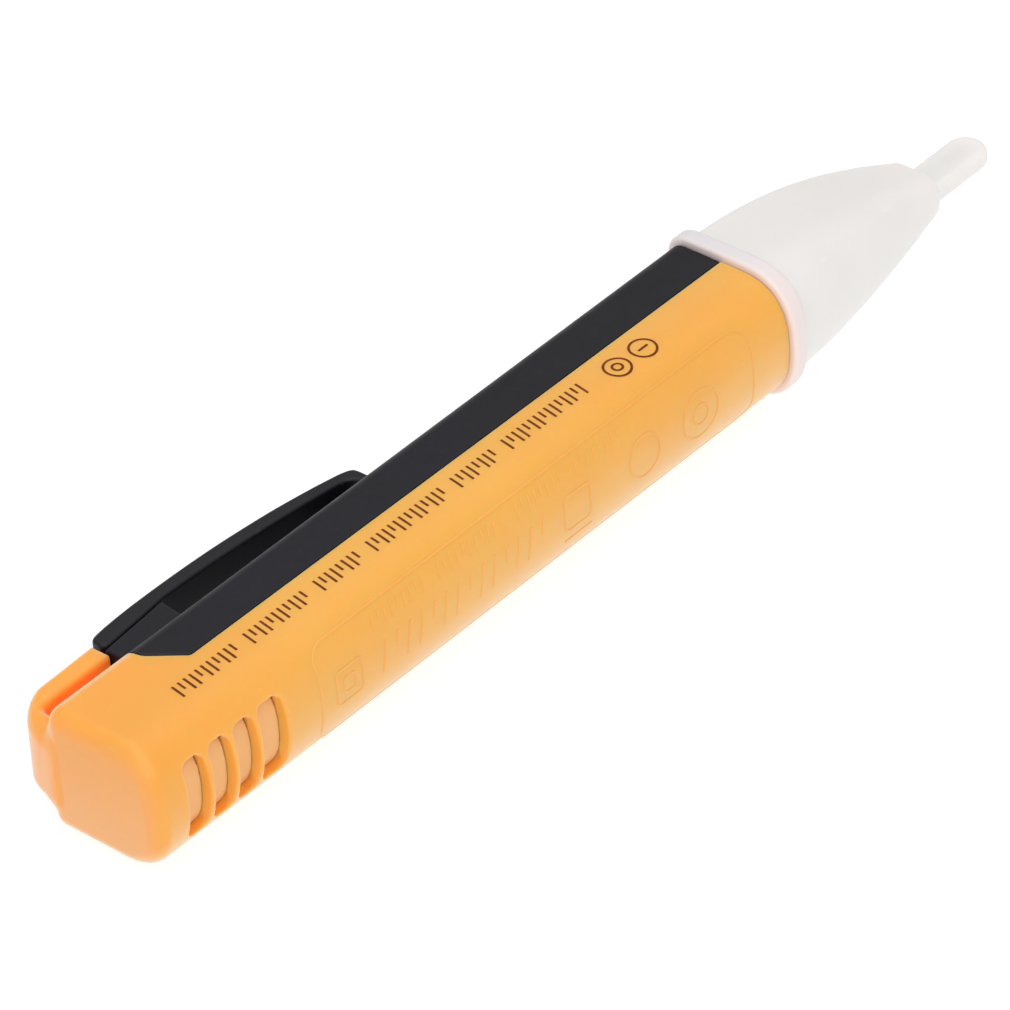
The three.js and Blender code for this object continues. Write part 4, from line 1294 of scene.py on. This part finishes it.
# printed on the +Z flank: bars like a tick scale, then two rings with a small ring and a dash
PRINT_HIGH, PRINT_LOW = [float(np.interp(y, RAIL[0], RAIL_S)) for y in (-0.42, -2.62)]
RING_S = PRINT_HIGH - 1.75
ticks, print_end = bars((11, 11, 8, 14, 8, 15), x=11.6, pitch=0.92, gap=1.35, low=PRINT_LOW,
                        high=PRINT_HIGH, lean=0.35, cut=0.38)
ticks += [ring(print_end + 3.4, RING_S, 1.62, 28), ring(print_end + 7.9, RING_S, 1.62, 28),
          ring(print_end + 3.4, RING_S, 0.62, 18),
          ([(print_end + 7.1, RING_S), (print_end + 8.7, RING_S)], False)]
prints = strokes("flank_print", ticks, width=0.31, height=0.012, sink=0.06, rib=FLAT_RIB)
fit(prints, "housing", ink_material(), "orange_shell")

# moulded relief on the back: a border, two rows of bars, rounded boxes, a dash and rings
border = [rounded_box(26.5, 100.9, -6.3, 6.9, 2.4)]
fine, _ = bars((9, 11, 8, 8), x=36.0, pitch=1.05, gap=1.7, low=4.0, high=6.0, lean=0.45, cut=0.4)
marks, _ = bars((14,), x=36.5, pitch=2.05, gap=0, low=-1.7, high=2.3, lean=0.8, cut=0.5)
marks += [rounded_box(29.0, 33.2, -1.9, 2.5, 0.6), rounded_box(30.2, 32.0, -0.7, 1.3, 0.4),
          rounded_box(67.5, 72.0, -2.0, 2.6, 0.8), ([(67.6, -3.4), (72.2, -3.4)], False),
          ring(81.5, 0.3, 2.6, 32, squash=1.05), ring(91.4, 0.2, 3.1, 36),
          ring(91.4, 0.2, 1.3, 22)]
for name, paths, width, height in (("back_border_relief", border, 0.32, 0.07),
                                   ("back_fine_relief", fine, 0.30, 0.07),
                                   ("back_mark_relief", marks, 0.34, 0.08)):
    fit(strokes(name, paths, width, height), "housing", RELIEF, "orange_shell")


# ---------------------------------------------------------------- studio
def studio_floor():
    """Plane through the rear end's lower edge and the collar's rim, on which it all rests."""
    rear_x, rear_z = 2.8, -8.06
    rim_x, rim_z = 108.9, -8.88
    half = 1500
    slope = (rim_z - rear_z) / (rim_x - rear_x)
    corners = [(x, y, rear_z + slope * (x - rear_x))
               for x, y in ((-half, -half), (half, -half), (half, half), (-half, half))]
    floor = grid_mesh("studio_floor", corners, np.array([[0, 1, 2, 3]]))
    m = Material("floor_paint")
    colour = m.mottle((0.20, 0.20, 0.20, 1), (0.22, 0.22, 0.22, 1), scale=14, detail=2,
                      over=(0.3, 0.7))
    m.set(Base_Color=colour, Roughness=0.6,
          Normal=m.bump(m.noise(scale=900, detail=2), strength=0.02, distance=0.0001),
          Specular_IOR_Level=0.2, Emission_Color=(1, 1, 1, 1), Emission_Strength=0.86)
    paint(floor, m.material)


def softbox(name, location, size, power, colour=(1, 1, 1)):
    """Area light aimed at the middle of the body. Place and size in metres, power in watts."""
    light = bpy.data.lights.new(name, "AREA")
    light.shape = "RECTANGLE"
    light.size, light.size_y = size
    light.energy = power
    light.color = colour
    obj = add_object(name, light)
    obj.location = location
    aim = Vector((0.07, 0, 0)) - Vector(location)
    obj.rotation_euler = aim.to_track_quat("-Z", "Y").to_euler()
    obj.visible_camera = False


def studio_world():
    """White world, dimmer as a light than as the camera sees it."""
    world = bpy.data.worlds.new("studio_world")
    world.use_nodes = True
    nodes, links = world.node_tree.nodes, world.node_tree.links
    background = nodes["Background"]
    background.inputs[0].default_value = (1.0, 1.0, 1.0, 1.0)
    rays = nodes.new("ShaderNodeLightPath")
    strength = nodes.new("ShaderNodeMapRange")
    links.new(rays.outputs["Is Camera Ray"], strength.inputs["Value"])
    strength.inputs["To Min"].default_value = 0.58
    strength.inputs["To Max"].default_value = 1.0
    links.new(strength.outputs["Result"], background.inputs[1])
    bpy.context.scene.world = world


def studio_camera():
    """Long lens that looks down on the tester from the rear and its back side."""
    target = Vector((76, 0, 0))
    distance = 920.21
    shift_right, shift_up = 5.70, 5.566     # how far the target sits off the view's centre
    azimuth, elevation, roll = [math.radians(a) for a in (-47.71, 36.88, -3.78)]
    data = bpy.data.cameras.new("camera")
    data.sensor_width = 36
    data.lens = 293.408911
    data.clip_start, data.clip_end = 0.01, 20
    camera = add_object("camera", data)
    back = Vector((math.sin(azimuth) * math.cos(elevation),
                   -math.cos(azimuth) * math.cos(elevation), math.sin(elevation)))
    level = Vector((math.cos(azimuth), math.sin(azimuth), 0))
    upright = back.cross(level)
    right = level * math.cos(roll) + upright * math.sin(roll)
    up = -level * math.sin(roll) + upright * math.cos(roll)
    place = (target + back * distance - right * shift_right - up * shift_up) * MM
    camera.matrix_world = Matrix((*zip(right, up, back, place), (0, 0, 0, 1)))
    bpy.context.scene.camera = camera


studio_floor()
softbox("key_softbox", location=(-0.25, -0.55, 0.75), size=(0.7, 0.5), power=2.98)
softbox("top_softbox", location=(0.10, 0.15, 0.95), size=(0.9, 0.7), power=2.75)
softbox("rear_fill", location=(-0.75, -0.05, 0.35), size=(0.5, 0.4), power=0.46,
        colour=(1.0, 0.88, 0.94))
studio_world()
bpy.context.scene.view_settings.view_transform = "Standard"
bpy.context.scene.view_settings.look = "None"
studio_camera()
